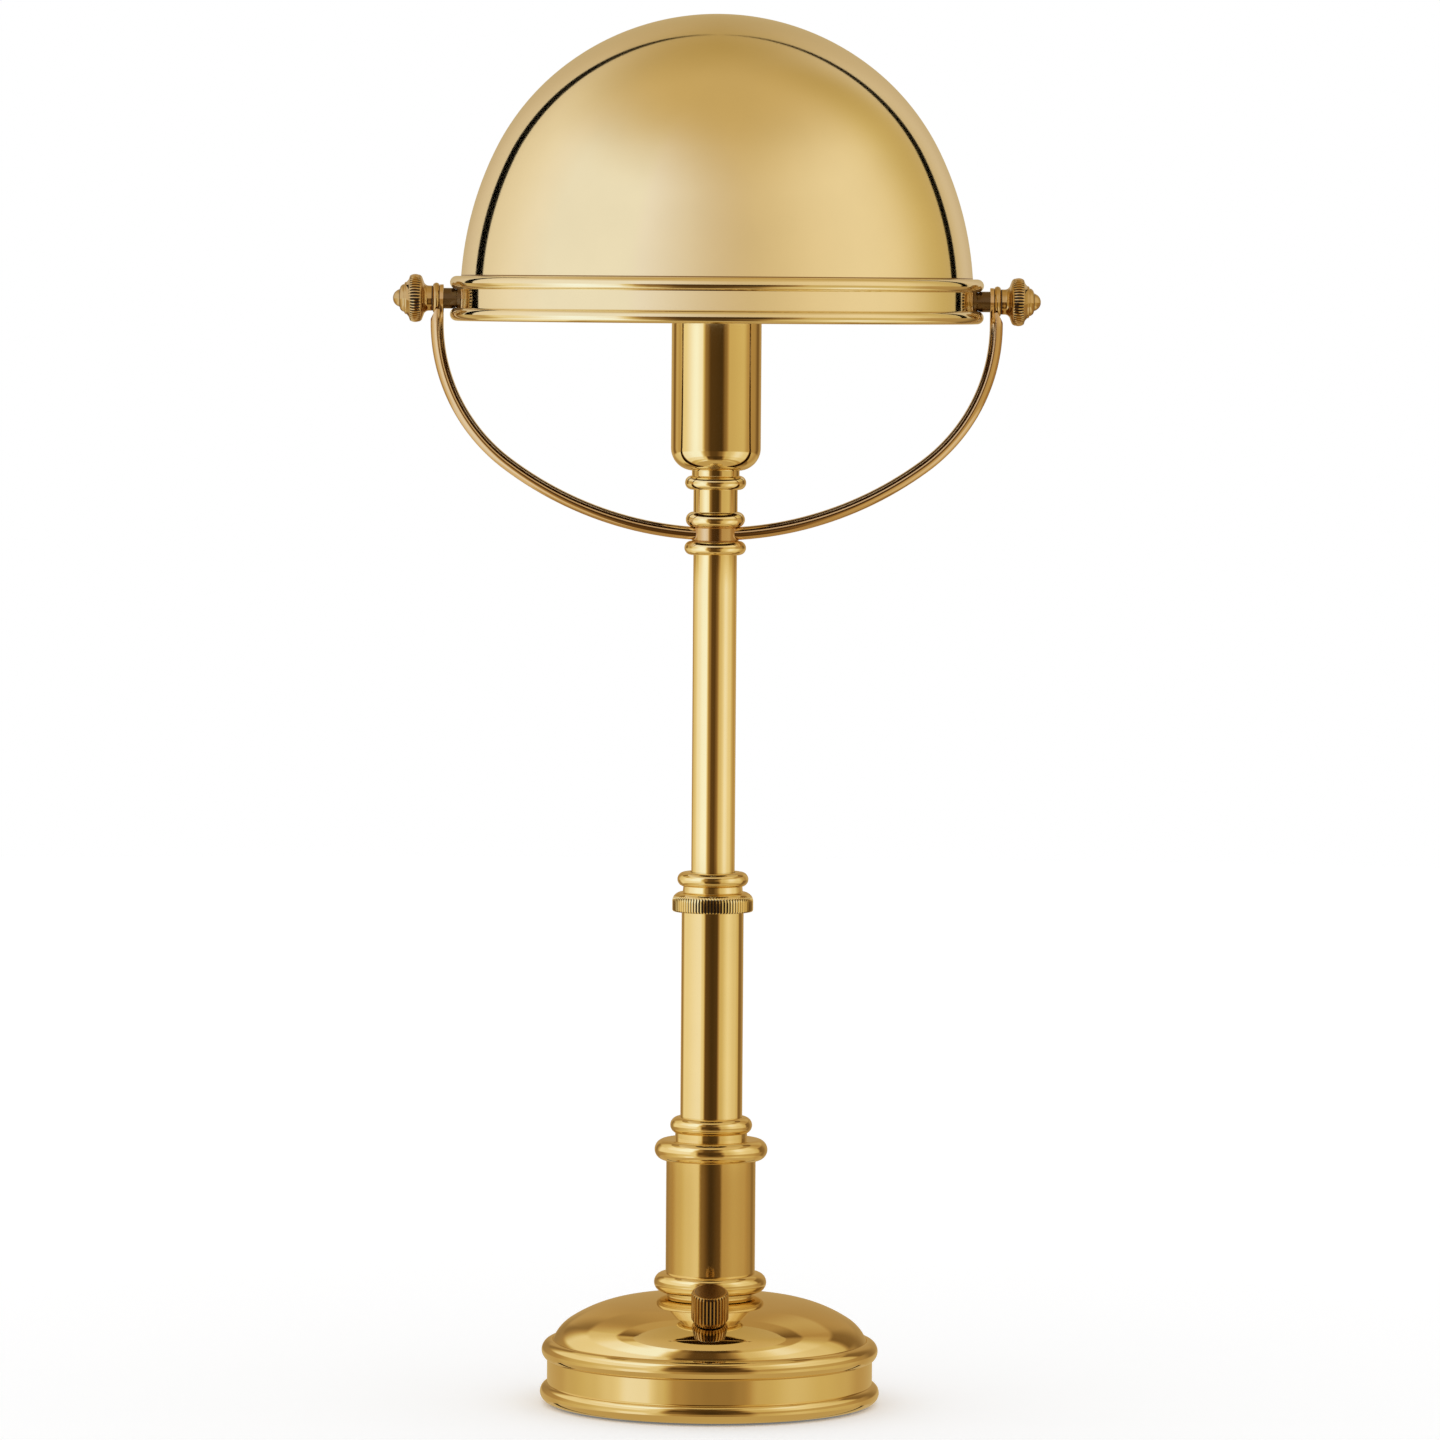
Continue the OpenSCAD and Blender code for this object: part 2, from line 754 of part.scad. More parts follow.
// Section of the bar: [outwards, along Y], flat faces with full round edges
edge_steps = 6;
bar_section = [for (end = [1, -1], i = [0 : edge_steps])
    let (a = 180 * i / edge_steps)
    [end * cos(a) * bar_t / 2, end * ((bar_w - bar_t) / 2 + sin(a) * bar_t / 2)]];

// Stations of the right arm from the middle outwards: [x, z, angle of the bar]
bend_step = 3;
low_steps = ceil(low_angle / bend_step);
side_steps = ceil((90 - low_angle) / bend_step);
arm_path = concat(
    [for (i = [0 : low_steps]) let (a = low_angle * i / low_steps)
        [low_r * sin(a), low_z - low_r * cos(a), a]],
    [for (i = [1 : side_steps]) let (a = low_angle + (90 - low_angle) * i / side_steps)
        [side_x + yoke_side_r * sin(a), side_z - yoke_side_r * cos(a), a]],
    [[arm_x, pivot_z, 90]]
);
arm_stations = len(arm_path);
bar_path = concat(
    [for (i = [arm_stations - 1 : -1 : 1]) [-arm_path[i][0], arm_path[i][1], -arm_path[i][2]]],
    arm_path
);

// The bent bar, swept along its path in one piece
module bent_bar() {
    n = len(bar_section);
    rings = len(bar_path);
    points = [for (s = bar_path, p = bar_section)
        [s[0] + p[0] * sin(s[2]), p[1], s[1] - p[0] * cos(s[2])]];
    sides = [for (i = [0 : rings - 2], k = [0 : n - 1])
        let (a = i * n + k, b = i * n + (k + 1) % n)
        each [[a, b + n, b], [a, a + n, b + n]]];
    last = (rings - 1) * n;
    ends = [for (k = [1 : n - 2]) each [[0, k, k + 1], [last, last + k + 1, last + k]]];
    polyhedron(points = points, faces = concat(sides, ends));
}

// Cuts at the end of an arm: the round face for the finial's flange and its hole
module eye_cuts() {
    each_side() {
        translate([yoke_in_x + tab_t, 0, pivot_z])
            rotate([0, 90, 0]) {
                cylinder(r = spot_r, h = bar_t);
                translate([0, 0, bar_t - tab_t - spot_depth])
                    cylinder(r1 = spot_r, r2 = spot_r + spot_depth, h = spot_depth);
            }
        translate([yoke_in_x - 1, 0, pivot_z])
            rotate([0, 90, 0]) cylinder(r = stud_r + run, h = bar_t + 2, $fn = bore_fn);
    }
}

module yoke() {
    color(brass)
        difference() {
            union() {
                bent_bar();
                each_side()
                    translate([yoke_in_x, 0, pivot_z])
                        rotate([0, 90, 0]) cylinder(r = bar_w / 2, h = tab_t);
                translate([0, 0, eye_z]) cylinder(r = eye_r, h = eye_h);
                // soldered fillets between the arms and the boss
                each_side() {
                    eye_fillet_pair();
                }
            }
            translate([0, 0, eye_z - 1]) cylinder(r = pipe_r + slip, h = eye_h + 2, $fn = bore_fn);
            eye_cuts();
        }
}

// Fillets in the two notches between the boss and the right arm
module eye_fillet_pair() {
    cy = bar_w / 2 - bar_t / 2 + eye_fillet;
    cx = sqrt(pow(eye_r + eye_fillet - 0.1, 2) - cy * cy);
    fillet_h = bar_t - 0.8;
    for (end = [-1, 1])
        translate([0, 0, eye_z + eye_h / 2 - fillet_h / 2])
            linear_extrude(fillet_h)
                difference() {
                    polygon([[0, 0], [cx, 0], [cx, end * cy]]);
                    translate([cx, end * cy]) circle(r = eye_fillet, $fn = bore_fn);
                }
}

module hub_upper_collar() {
    color(bright_brass)
        rotate_extrude()
            difference() {
                bead2d(hub_top_r, hub_top_bead, hub_top_z);
                band2d(-big, pipe_r + slip, -big, big);
            }
}

module hub_pipe() {
    color(steel)
        tube(rod_bore_r, pipe_r, hub_z + tube_socket + free, holder_z + holder_boss_h - 1);
}

module stem() {
    color(bright_brass) tube(stem_r - 1.2, stem_r, stem_z, cup_collar_z);
}

module socket_collar() {
    color(bright_brass)
        rotate_extrude()
            difference() {
                union() {
                    bead2d(cup_bead_r, cup_bead, cup_collar_z);
                    band2d(0, cup_neck_r, cup_collar_z + cup_bead, cup_z);
                }
                band2d(-big, pipe_r + slip, -big, big);
            }
}

// Half profile of the cup, drawn in by its wall
module cup_profile(inset) {
    top = inset > 0 ? cup_z + cup_h + 1 : cup_z + cup_h;
    translate([cup_r - cup_corner, cup_z + cup_corner])
        circle(r = cup_corner - inset, $fn = 96);
    band2d(0, cup_r - cup_corner, cup_z + inset, top);
    band2d(0, cup_r - inset, cup_z + cup_corner, top);
}

module socket_cup() {
    color(bright_brass)
        rotate_extrude()
            difference() {
                cup_profile(0);
                cup_profile(cup_wall);
                band2d(-big, pipe_r + slip, -big, big);
            }
}

module pipe_nut() {
    color(steel) hex_nut(pipe_nut_r, pipe_r + slip, cup_z + cup_wall, pipe_nut_h);
}

module lamp_holder() {
    body_z = holder_z + holder_boss_h;
    color(cream)
        rotate_extrude()
            difference() {
                union() {
                    band2d(0, pipe_nut_r, holder_z, body_z);
                    band2d(0, holder_r, body_z, shell_floor_z + shell_h + 4);
                }
                band2d(-big, pipe_r + slip, -big, body_z);
                band2d(-big, rod_bore_r, -big, body_z + holder_floor / 2);
                band2d(-big, shell_in_r + shell_wall + slip, shell_floor_z, big);
            }
}

module screw_shell() {
    color(brass)
        rotate_extrude()
            difference() {
                band2d(0, shell_in_r + shell_wall, shell_floor_z, shell_floor_z + shell_h);
                band2d(-big, shell_in_r, shell_floor_z + shell_floor_t, big);
                band2d(-big, shell_in_r - 4, -big, big);
            }
}

// Sprung leaf on the holder's floor, under the bulb's contact
module centre_contact() {
    leaf_t = 0.5;
    color(brass)
        translate([0, 0, shell_floor_z]) {
            cylinder(r = 3, h = contact_h - leaf_t, $fn = bore_fn);
            translate([-2.5, -7, contact_h - leaf_t]) cube([5, 10, leaf_t]);
            translate([-2.5, -7, 0]) cube([5, leaf_t, contact_h]);
        }
}

module bulb_cap() {
    tip_r = 4.5;
    tip_h = 3.5;
    color(steel)
        rotate_extrude()
            polygon([[0, bulb_z], [tip_r, bulb_z], [tip_r, bulb_z + tip_h / 2],
                [bulb_cap_r - 2, bulb_z + tip_h], [bulb_cap_r, bulb_z + tip_h + 1.5],
                [bulb_cap_r, bulb_z + bulb_cap_h], [0, bulb_z + bulb_cap_h]]);
}

// Half profile of the glass, drawn in by its wall
module glass_profile(inset) {
    globe_z = bulb_z + bulb_l - bulb_r;
    foot_z = bulb_z + bulb_cap_h;
    neck_r = bulb_cap_r - 0.4;
    rise = globe_z - foot_z;
    // hollow curve from the neck, tangent to the globe
    flare = (rise * rise + neck_r * neck_r - bulb_r * bulb_r) / (2 * (bulb_r - neck_r));
    waist_x = neck_r + flare;
    touch = bulb_r / (bulb_r + flare);
    low = inset > 0 ? foot_z - 1 : foot_z;
    translate([0, globe_z]) circle(r = bulb_r - inset, $fn = 120);
    difference() {
        band2d(0, waist_x * touch, low, foot_z + rise * (1 - touch));
        translate([waist_x, foot_z]) circle(r = flare + inset, $fn = 120);
    }
    if (inset > 0) band2d(0, neck_r - inset, low, foot_z + 0.1);
}

module bulb_glass() {
    color([0.96, 0.95, 0.90])
        rotate_extrude()
            difference() {
                glass_profile(0);
                glass_profile(glass_wall);
                band2d(-big, 0, -big, big);
            }
}

// ---------- shade ----------

// Half profile of the dome, drawn in by its wall
module dome_profile(inset) {
    low = inset > 0 ? ring_z - 1 : ring_z + lip_t + slip;
    polygon(concat(
        [[0, low]],
        arc([0, crown_z], crown_r - inset, 0, crown_angle, arc_step),
        arc([shoulder_x, shoulder_z], shoulder_r - inset, crown_angle + arc_step, shoulder_angle,
            arc_step),
        arc([skirt_x, pivot_z], skirt_r - inset, shoulder_angle + arc_step,
            rim_angle - arc_step / 2, arc_step),
        [[rim_r - inset, ring_z + ring_h], [rim_r - inset, low]]
    ));
}

module pivot_bores() {
    each_side()
        translate([stud_end_x, 0, pivot_z])
            rotate([0, 90, 0])
                cylinder(r = stud_r + run, h = yoke_in_x - stud_end_x, $fn = bore_fn);
}

module shade_dome() {
    color(bright_brass)
        difference() {
            rotate_extrude()
                difference() {
                    dome_profile(0);
                    dome_profile(shade_wall);
                    band2d(-big, 0, -big, 2 * big);
                }
            pivot_bores();
        }
}

// Half profile of the ring's two beads, grown by a gap
module ring_beads2d(gap) {
    for (z = [ring_z + ring_bead_r, ring_z + ring_h - ring_bead_r])
        translate([ring_r, z]) circle(r = ring_bead_r + gap, $fn = bore_fn);
}

module shade_ring() {
    color(bright_brass)
        difference() {
            rotate_extrude()
                difference() {
                    union() {
                        band2d(ring_bore_r, ring_r, ring_z + ring_bead_r, ring_z + ring_h - ring_bead_r);
                        ring_beads2d(0);
                        band2d(rim_r - shade_wall - ring_lip, ring_r, ring_z, ring_z + lip_t);
                    }
                    band2d(0, ring_bore_r, ring_z + lip_t, big * 2);
                }
            pivot_bores();
        }
}

// Spacers between the ring and the yoke's eyes, coped to sit between the beads
module pivot_spacers() {
    color(brass)
        difference() {
            each_side()
                translate([ring_r, 0, pivot_z])
                    rotate([0, 90, 0]) tube(stud_r + run, spacer_r, 0, spacer_l - run);
            rotate_extrude() ring_beads2d(slip);
        }
}

// Nuts fixed inside the shade, which the finials screw into
module pivot_nuts() {
    color(steel)
        each_side()
            translate([pivot_nut_x, 0, pivot_z])
                rotate([0, 90, 0]) hex_nut(nut_flat_r, stud_r + run, 0, nut_l);
}

// ---------- finials ----------

// Turned half profile of a finial, without its knurled band
module finial_profile() {
    flange_bead = finial_flange_t / 2;
    bead2d(finial_flange_r, flange_bead, 0);
    band2d(0, finial_neck_r, 0, flare_z + flare_r);
    // hollow flare from the neck to the back of the rim
    difference() {
        band2d(0, finial_neck_r + flare_r, flare_z, flare_z + flare_r + rim_back);
        translate([finial_neck_r + flare_r, flare_z]) circle(r = flare_r, $fn = bore_fn);
    }
    translate([knurl_root_r - rim_back, knurl_z]) circle(r = rim_back, $fn = bore_fn);
    band2d(0, knurl_root_r - rim_back, flare_z + flare_r, rim_end_z);
    translate([knurl_root_r - rim_front, rim_end_z]) circle(r = rim_front, $fn = bore_fn);
    // stepped cone to the ball
    polygon([[0, rim_end_z], [knurl_root_r - rim_front, rim_end_z], [knurl_root_r - 1.6, ring1_z],
        [finial_ball_r + 2.2, ring2_z - 0.6], [finial_ball_r + 2.2, ring2_z],
        [finial_ball_r + 1.2, ring2_z + 0.4], [finial_ball_r, ball_z], [0, ball_z]]);
    translate([0, ball_z]) circle(r = finial_ball_r, $fn = bore_fn);
}

module finial(turn) {
    stud_l = flange_x - stud_end_x;
    color(brass)
        rotate([0, 0, turn])
            translate([flange_x, 0, pivot_z])
                rotate([0, 90, 0]) {
                    rotate_extrude()
                        intersection() {
                            finial_profile();
                            band2d(0, big, 0, big);
                        }
                    translate([0, 0, knurl_z])
                        linear_extrude(finial_knurl_w)
                            knurl2d(finial_r, knurl_depth, finial_ribs);
                    translate([0, 0, -stud_l]) cylinder(r = stud_r, h = stud_l + 1, $fn = bore_fn);
                }
}

module finial_left() {
    finial(180);
}

module finial_right() {
    finial(0);
}

felt_pad();
base_plate();
plate_screws();
base_weight();
base_shell();
column_rod();
rod_washer();
rod_lower_nut();
rod_upper_nut();
foot_collar();
lower_sleeve();
stepped_collar();
outer_tube();
collet_bush();
dimmer_body();
dimmer_nut();
cord_gland();
gland_nut();
lock_collar();
dimmer_shaft();
control_knob();
guide_bush();
upper_tube();
guide_shoulder();
guide_clip();
hub_lower_collar();
yoke();
hub_upper_collar();
hub_pipe();
stem();
socket_collar();
socket_cup();
pipe_nut();
lamp_holder();
screw_shell();
centre_contact();
bulb_cap();
bulb_glass();
shade_dome();
shade_ring();
pivot_spacers();
pivot_nuts();
finial_left();
finial_right();
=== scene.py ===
"""Looks of the dome shade desk lamp: brass finishes and the turned and bent pieces
that need finer surfaces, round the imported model. Metres, +Z up, camera on the -Y side."""

import json
import math

import bpy
from mathutils import Matrix, Quaternion, Vector


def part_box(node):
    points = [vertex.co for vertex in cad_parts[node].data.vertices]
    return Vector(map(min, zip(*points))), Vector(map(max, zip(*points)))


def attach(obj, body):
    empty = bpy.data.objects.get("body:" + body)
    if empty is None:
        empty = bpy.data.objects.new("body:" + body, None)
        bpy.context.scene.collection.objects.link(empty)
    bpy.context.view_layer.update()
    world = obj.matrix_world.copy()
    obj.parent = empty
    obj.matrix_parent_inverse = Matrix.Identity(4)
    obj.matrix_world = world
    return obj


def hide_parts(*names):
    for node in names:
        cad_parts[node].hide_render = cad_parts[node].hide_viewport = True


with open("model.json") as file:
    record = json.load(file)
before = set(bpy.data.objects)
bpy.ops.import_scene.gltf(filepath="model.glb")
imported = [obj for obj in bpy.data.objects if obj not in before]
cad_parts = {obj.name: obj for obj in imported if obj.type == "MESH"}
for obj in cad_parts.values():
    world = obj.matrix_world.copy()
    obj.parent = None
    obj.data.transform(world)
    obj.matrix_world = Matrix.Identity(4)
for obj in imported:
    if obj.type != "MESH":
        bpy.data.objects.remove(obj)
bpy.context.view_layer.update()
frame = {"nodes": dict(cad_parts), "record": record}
MM = 0.001

# ---------- camera ----------

IMAGE_PX = 1440
FOCAL_PX = 7823
SENSOR_MM = 36
CAMERA_AT = Vector((0.0, -3.12, 0.447))
AIM_AT = Vector((0.0024, 0.0, 0.274))
CAMERA_ROLL_DEG = 0.4


def make_camera():
    data = bpy.data.cameras.new("camera")
    data.sensor_width = SENSOR_MM
    data.lens = FOCAL_PX / IMAGE_PX * SENSOR_MM
    data.clip_start = 0.05
    data.clip_end = 50
    camera = bpy.data.objects.new("camera", data)
    camera.location = CAMERA_AT
    camera.rotation_mode = "QUATERNION"
    turn = (AIM_AT - CAMERA_AT).to_track_quat("-Z", "Y")
    camera.rotation_quaternion = turn @ Quaternion((0, 0, 1), math.radians(CAMERA_ROLL_DEG))
    bpy.context.scene.collection.objects.link(camera)
    bpy.context.scene.camera = camera


# ---------- node helpers ----------


class Nodes:
    """A short way to add shader nodes and link them."""

    def __init__(self, tree):
        self.tree = tree
        tree.nodes.clear()

    def add(self, kind, inputs=None, **settings):
        node = self.tree.nodes.new(kind)
        for name, value in settings.items():
            setattr(node, name, value)
        for name, value in (inputs or {}).items():
            socket = node.inputs[name]
            if isinstance(value, bpy.types.NodeSocket):
                self.tree.links.new(value, socket)
            else:
                socket.default_value = value
        return node

    def math(self, operation, a, b=0.0, c=0.0):
        return self.add("ShaderNodeMath", {0: a, 1: b, 2: c}, operation=operation).outputs[0]

    def ramp(self, value, stops, mode="LINEAR"):
        """Colour ramp; stops are (position, (r, g, b))."""
        node = self.add("ShaderNodeValToRGB", {0: value})
        band = node.color_ramp
        band.interpolation = mode
        while len(band.elements) < len(stops):
            band.elements.new(1)
        for element, (place, colour) in zip(band.elements, stops):
            element.position = place
            element.color = (*colour, 1)
        return node.outputs[0]

    def blend(self, value, start, end):
        """0 below the start, 1 above the end, smooth between them."""
        return self.add("ShaderNodeMapRange", {0: value, 1: start, 2: end},
                        interpolation_type="SMOOTHSTEP").outputs[0]

    def mix(self, share, a, b):
        """Colour a where the share is 0, and b where it is 1."""
        a, b = (c if isinstance(c, bpy.types.NodeSocket) else (*c, 1) for c in (a, b))
        return self.add("ShaderNodeMix", {0: share, 6: a, 7: b}, data_type="RGBA").outputs[2]

    def compass(self, x, y):
        """Azimuth of a direction, as a place on a ramp from -180 to 180 degrees."""
        azimuth = self.math("ARCTAN2", x, self.math("MULTIPLY", y, -1.0))
        return self.math("MULTIPLY_ADD", azimuth, 1 / math.tau, 0.5)


def at(azimuth):
    """Place of an azimuth in degrees on such a ramp."""
    return (azimuth + 180) / 360


def new_material(name):
    material = bpy.data.materials.new(name)
    material.use_nodes = True
    return material, Nodes(material.node_tree)


# ---------- studio ----------

# Light of the softboxes by azimuth seen from the lamp: 0 is the camera, + is its right
HORIZON = [
    (-180, (0.52, 0.38, 0.17)),
    (-160, (0.66, 0.52, 0.32)),
    (-146, (0.78, 0.66, 0.48)),
    (-128, (0.90, 0.80, 0.62)),
    (-100, (1.00, 0.95, 0.87)),
    (-56, (1.06, 1.08, 1.20)),
    (-34, (1.00, 0.98, 1.02)),
    (-14, (0.86, 0.78, 0.68)),
    (4, (0.76, 0.63, 0.46)),
    (20, (0.78, 0.64, 0.41)),
    (44, (0.92, 0.79, 0.56)),
    (72, (1.00, 0.89, 0.67)),
    (92, (0.94, 0.81, 0.56)),
    (110, (0.74, 0.59, 0.27)),
    (130, (0.60, 0.44, 0.16)),
    (146, (0.78, 0.66, 0.48)),
    (160, (0.66, 0.52, 0.32)),
    (180, (0.52, 0.38, 0.17)),
]
ZENITH = (0.68, 0.51, 0.24)
HIGH_BACK = (0.52, 0.37, 0.13)
NADIR = (0.60, 0.44, 0.20)
# how far up, down and back a direction points where these take over
RISE_BLEND = (0.55, 1.0)
DROP_BLEND = (0.12, 0.5)
BACK_BLEND = (0.0, 0.6)
# dark gap between the backdrop and the softboxes, in degrees from the far direction
GAP_HALF_ANGLE = 49
GAP_WIDTH = 9.0
GAP_RIGHT_NARROWER = 2.4
ROOM_LIGHT = (0.9, 0.9, 0.9)
WHITE = (1.0, 1.0, 1.0)
BLACK = (0.0, 0.0, 0.0)


def make_world():
    world = bpy.data.worlds.new("studio")
    bpy.context.scene.world = world
    world.use_nodes = True
    n = Nodes(world.node_tree)
    way = n.add("ShaderNodeTexCoord").outputs["Generated"]
    x, y, z = n.add("ShaderNodeSeparateXYZ", {0: way}).outputs
    ring = n.ramp(n.compass(x, y), [(at(a), c) for a, c in HORIZON], "B_SPLINE")
    above = n.mix(n.blend(y, *BACK_BLEND), ZENITH, HIGH_BACK)
    soft = n.mix(n.blend(z, *RISE_BLEND), ring, above)
    soft = n.mix(n.blend(n.math("MULTIPLY", z, -1.0), *DROP_BLEND), soft, NADIR)
    # the gap is a ring, widest at its sides, that closes at its top
    from_back = n.math("ARCCOSINE", y)
    swing = n.math("DIVIDE", z, n.math("MAXIMUM", n.math("SINE", from_back), 0.001))
    share = n.math("SUBTRACT", 1.0, n.math("MULTIPLY", swing, swing))
    share = n.math("SQRT", n.math("MAXIMUM", share, 0.0))
    widest = n.math("MULTIPLY_ADD", n.math("GREATER_THAN", x, 0.0),
                    -math.radians(GAP_RIGHT_NARROWER), math.radians(GAP_WIDTH))
    inner = n.math("SUBTRACT", math.radians(GAP_HALF_ANGLE), n.math("MULTIPLY", share, widest))
    in_gap = n.math("MULTIPLY", n.math("GREATER_THAN", from_back, inner),
                    n.math("LESS_THAN", from_back, math.radians(GAP_HALF_ANGLE)))
    rays = n.add("ShaderNodeLightPath").outputs
    seen = n.math("MAXIMUM", rays["Is Camera Ray"], rays["Is Transmission Ray"])
    colour = n.mix(rays["Is Glossy Ray"], ROOM_LIGHT, n.mix(in_gap, soft, BLACK))
    back = n.add("ShaderNodeBackground", {0: n.mix(seen, colour, WHITE), 1: 1.0})
    n.add("ShaderNodeOutputWorld", {0: back.outputs[0]})


FLOOR_R = 3.0
FLOOR_DROP = 0.0005
FLOOR_PAPER = (0.95, 0.95, 0.95, 1)
FLOOR_LIFT = 0.16


def make_floor():
    bpy.ops.mesh.primitive_circle_add(vertices=96, radius=FLOOR_R, fill_type="NGON",
                                      location=(0, 0, -FLOOR_DROP))
    floor = bpy.context.object
    floor.name = "floor"
    material, n = new_material("floor_paper")
    rays = n.add("ShaderNodeLightPath").outputs
    seen = n.math("MAXIMUM", rays["Is Camera Ray"], rays["Is Transmission Ray"])
    paper = n.add("ShaderNodeBsdfDiffuse", {"Color": FLOOR_PAPER})
    lift = n.add("ShaderNodeEmission", {0: (*WHITE, 1), 1: n.math("MULTIPLY", seen, FLOOR_LIFT)})
    both = n.add("ShaderNodeAddShader", {0: paper.outputs[0], 1: lift.outputs[0]})
    n.add("ShaderNodeOutputMaterial", {0: both.outputs[0]})
    floor.data.materials.append(material)
    floor.visible_glossy = False


# Screens that stand round the column, below the shade, and show only in the metal.
# Each level has its light by azimuth: (degrees, brightness); 0 is the camera, + its right.
SCREEN_R = 0.25
SCREEN_STEPS = 120
SCREEN_LOW = -0.08
SCREEN_TOP = 0.432
SCREEN_LEVELS = [
    # height that it is centred on, in metres, and its light
    (-0.026, [(-150, 0.50), (-118, 0.50), (-105, 0.57), (-80, 0.65), (-66, 0.74), (-52, 0.88),
              (-40, 0.87), (-30, 0.66), (-20, 0.42), (-8, 0.33), (0, 0.30), (12, 0.30), (20, 0.36),
              (31, 0.57), (55, 0.68), (80, 0.61), (98, 0.57), (118, 0.47), (150, 0.50)]),
    (0.034, [(-165, 0.42), (-150, 0.30), (-120, 0.40), (-90, 0.57), (-60, 0.69), (-32, 0.76),
             (-24, 0.22), (0, 0.04), (22, 0.12), (30, 0.46), (60, 0.52), (90, 0.49), (115, 0.38),
             (130, 0.24), (150, 0.38), (165, 0.42)]),
    (0.123, [(-168, 0.42), (-155, 0.45), (-143, 0.25), (-120, 0.80), (-45, 0.88), (-32, 0.75),
             (-23, 0.10), (0, 0.05), (16, 0.07), (30, 0.60), (60, 0.82), (90, 0.72), (108, 0.62),
             (118, 0.20), (128, 0.22), (150, 0.42), (168, 0.42)]),
    (0.258, [(-168, 0.44), (-150, 0.38), (-128, 0.68), (-90, 0.89), (-60, 0.97), (-42, 0.98),
             (-24, 0.33), (-12, 0.10), (2, 0.09), (12, 0.20), (30, 0.66), (60, 0.89), (90, 0.78),
             (116, 0.50), (128, 0.42), (150, 0.52), (168, 0.42)]),
    (0.398, [(-146, 0.48), (-130, 0.16), (-118, 0.55), (-104, 0.48), (-88, 0.80), (-50, 0.98),
             (-36, 0.92), (-24, 0.25), (-12, 0.07), (14, 0.05), (24, 0.24), (34, 0.58), (72, 0.63),
             (88, 0.45), (112, 0.40), (130, 0.16), (150, 0.42)]),
]
SCREEN_BLEND = 0.012
# What a brightness looks like: the dimmer the screen, the warmer its light
TONES = [
    (0.0, (0.02, 0.012, 0.004)), (0.14, (0.163, 0.086, 0.026)), (0.44, (0.52, 0.34, 0.13)),
    (0.62, (0.73, 0.58, 0.27)), (0.81, (0.95, 0.85, 0.58)), (0.88, (1.03, 1.00, 0.90)),
    (1.0, (1.15, 1.30, 1.50)),
]


def make_screens():
    verts, faces = [], []
    for i in range(SCREEN_STEPS):
        a = math.tau * i / SCREEN_STEPS
        for z in (SCREEN_LOW, SCREEN_TOP):
            verts.append((SCREEN_R * math.sin(a), SCREEN_R * math.cos(a), z))
        j = (i + 1) % SCREEN_STEPS
        faces.append((2 * i, 2 * j, 2 * j + 1, 2 * i + 1))
    mesh = bpy.data.meshes.new("screens")
    mesh.from_pydata(verts, [], faces)
    screens = bpy.data.objects.new("screens", mesh)
    bpy.context.scene.collection.objects.link(screens)
    material, n = new_material("screens")
    way = n.add("ShaderNodeTexCoord").outputs["Object"]
    x, y, z = n.add("ShaderNodeSeparateXYZ", {0: way}).outputs
    place = n.compass(x, y)
    light = None
    for height, stops in SCREEN_LEVELS:
        ring = n.ramp(place, [(at(a), (level,) * 3) for a, level in stops], "EASE")
        if light is None:
            light = ring
        else:
            middle = (height + below) / 2
            light = n.mix(n.blend(z, middle - SCREEN_BLEND, middle + SCREEN_BLEND), light, ring)
        below = height
    glow = n.add("ShaderNodeEmission", {0: n.ramp(light, TONES), 1: 1.0})
    n.add("ShaderNodeOutputMaterial", {0: glow.outputs[0]})
    mesh.materials.append(material)
    screens.visible_camera = False
    screens.visible_diffuse = False
    screens.visible_shadow = False
    screens.visible_transmission = False


# ---------- materials ----------

# noise per metre: tarnish on brass, its fine grain, and specks on everything else
TARNISH_SCALE = 35.0
GRAIN_SCALE = 900.0
SPECK_SCALE = 200.0
GRAIN_DEPTH = 0.0001


def noise(n, scale, detail):
    place = n.add("ShaderNodeTexCoord").outputs["Object"]
    return n.add("ShaderNodeTexNoise", {"Vector": place, "Scale": scale, "Detail": detail}).outputs[0]


def dimmed(n, cloud, colour, share):
    """The colour, dimmed to a share of itself where the noise is low."""
    return n.ramp(cloud, [(0.3, tuple(share * c for c in colour)), (0.7, colour)])


def brass(name, colour, roughness, grain=0.0):
    material, n = new_material(name)
    cloud = noise(n, TARNISH_SCALE, 4.0)
    rough = n.add("ShaderNodeMapRange", {0: cloud, 3: roughness * 0.8, 4: roughness * 1.25})
    look = {"Base Color": dimmed(n, cloud, colour, 0.96), "Metallic": 1.0,
            "Roughness": rough.outputs[0], "Coat Weight": 0.3, "Coat Roughness": 0.03}
    if grain:
        height = noise(n, GRAIN_SCALE, 2.0)
        bump = n.add("ShaderNodeBump", {"Strength": grain, "Distance": GRAIN_DEPTH, "Height": height})
        look["Normal"] = bump.outputs[0]
    surface = n.add("ShaderNodeBsdfPrincipled", look)
    n.add("ShaderNodeOutputMaterial", {0: surface.outputs[0]})
    return material


def plain(name, colour, roughness, metallic=0.0):
    material, n = new_material(name)
    tint = dimmed(n, noise(n, SPECK_SCALE, 5.0), colour, 0.85)
    surface = n.add("ShaderNodeBsdfPrincipled", {
        "Base Color": tint, "Metallic": metallic, "Roughness": roughness})
    n.add("ShaderNodeOutputMaterial", {0: surface.outputs[0]})
    return material


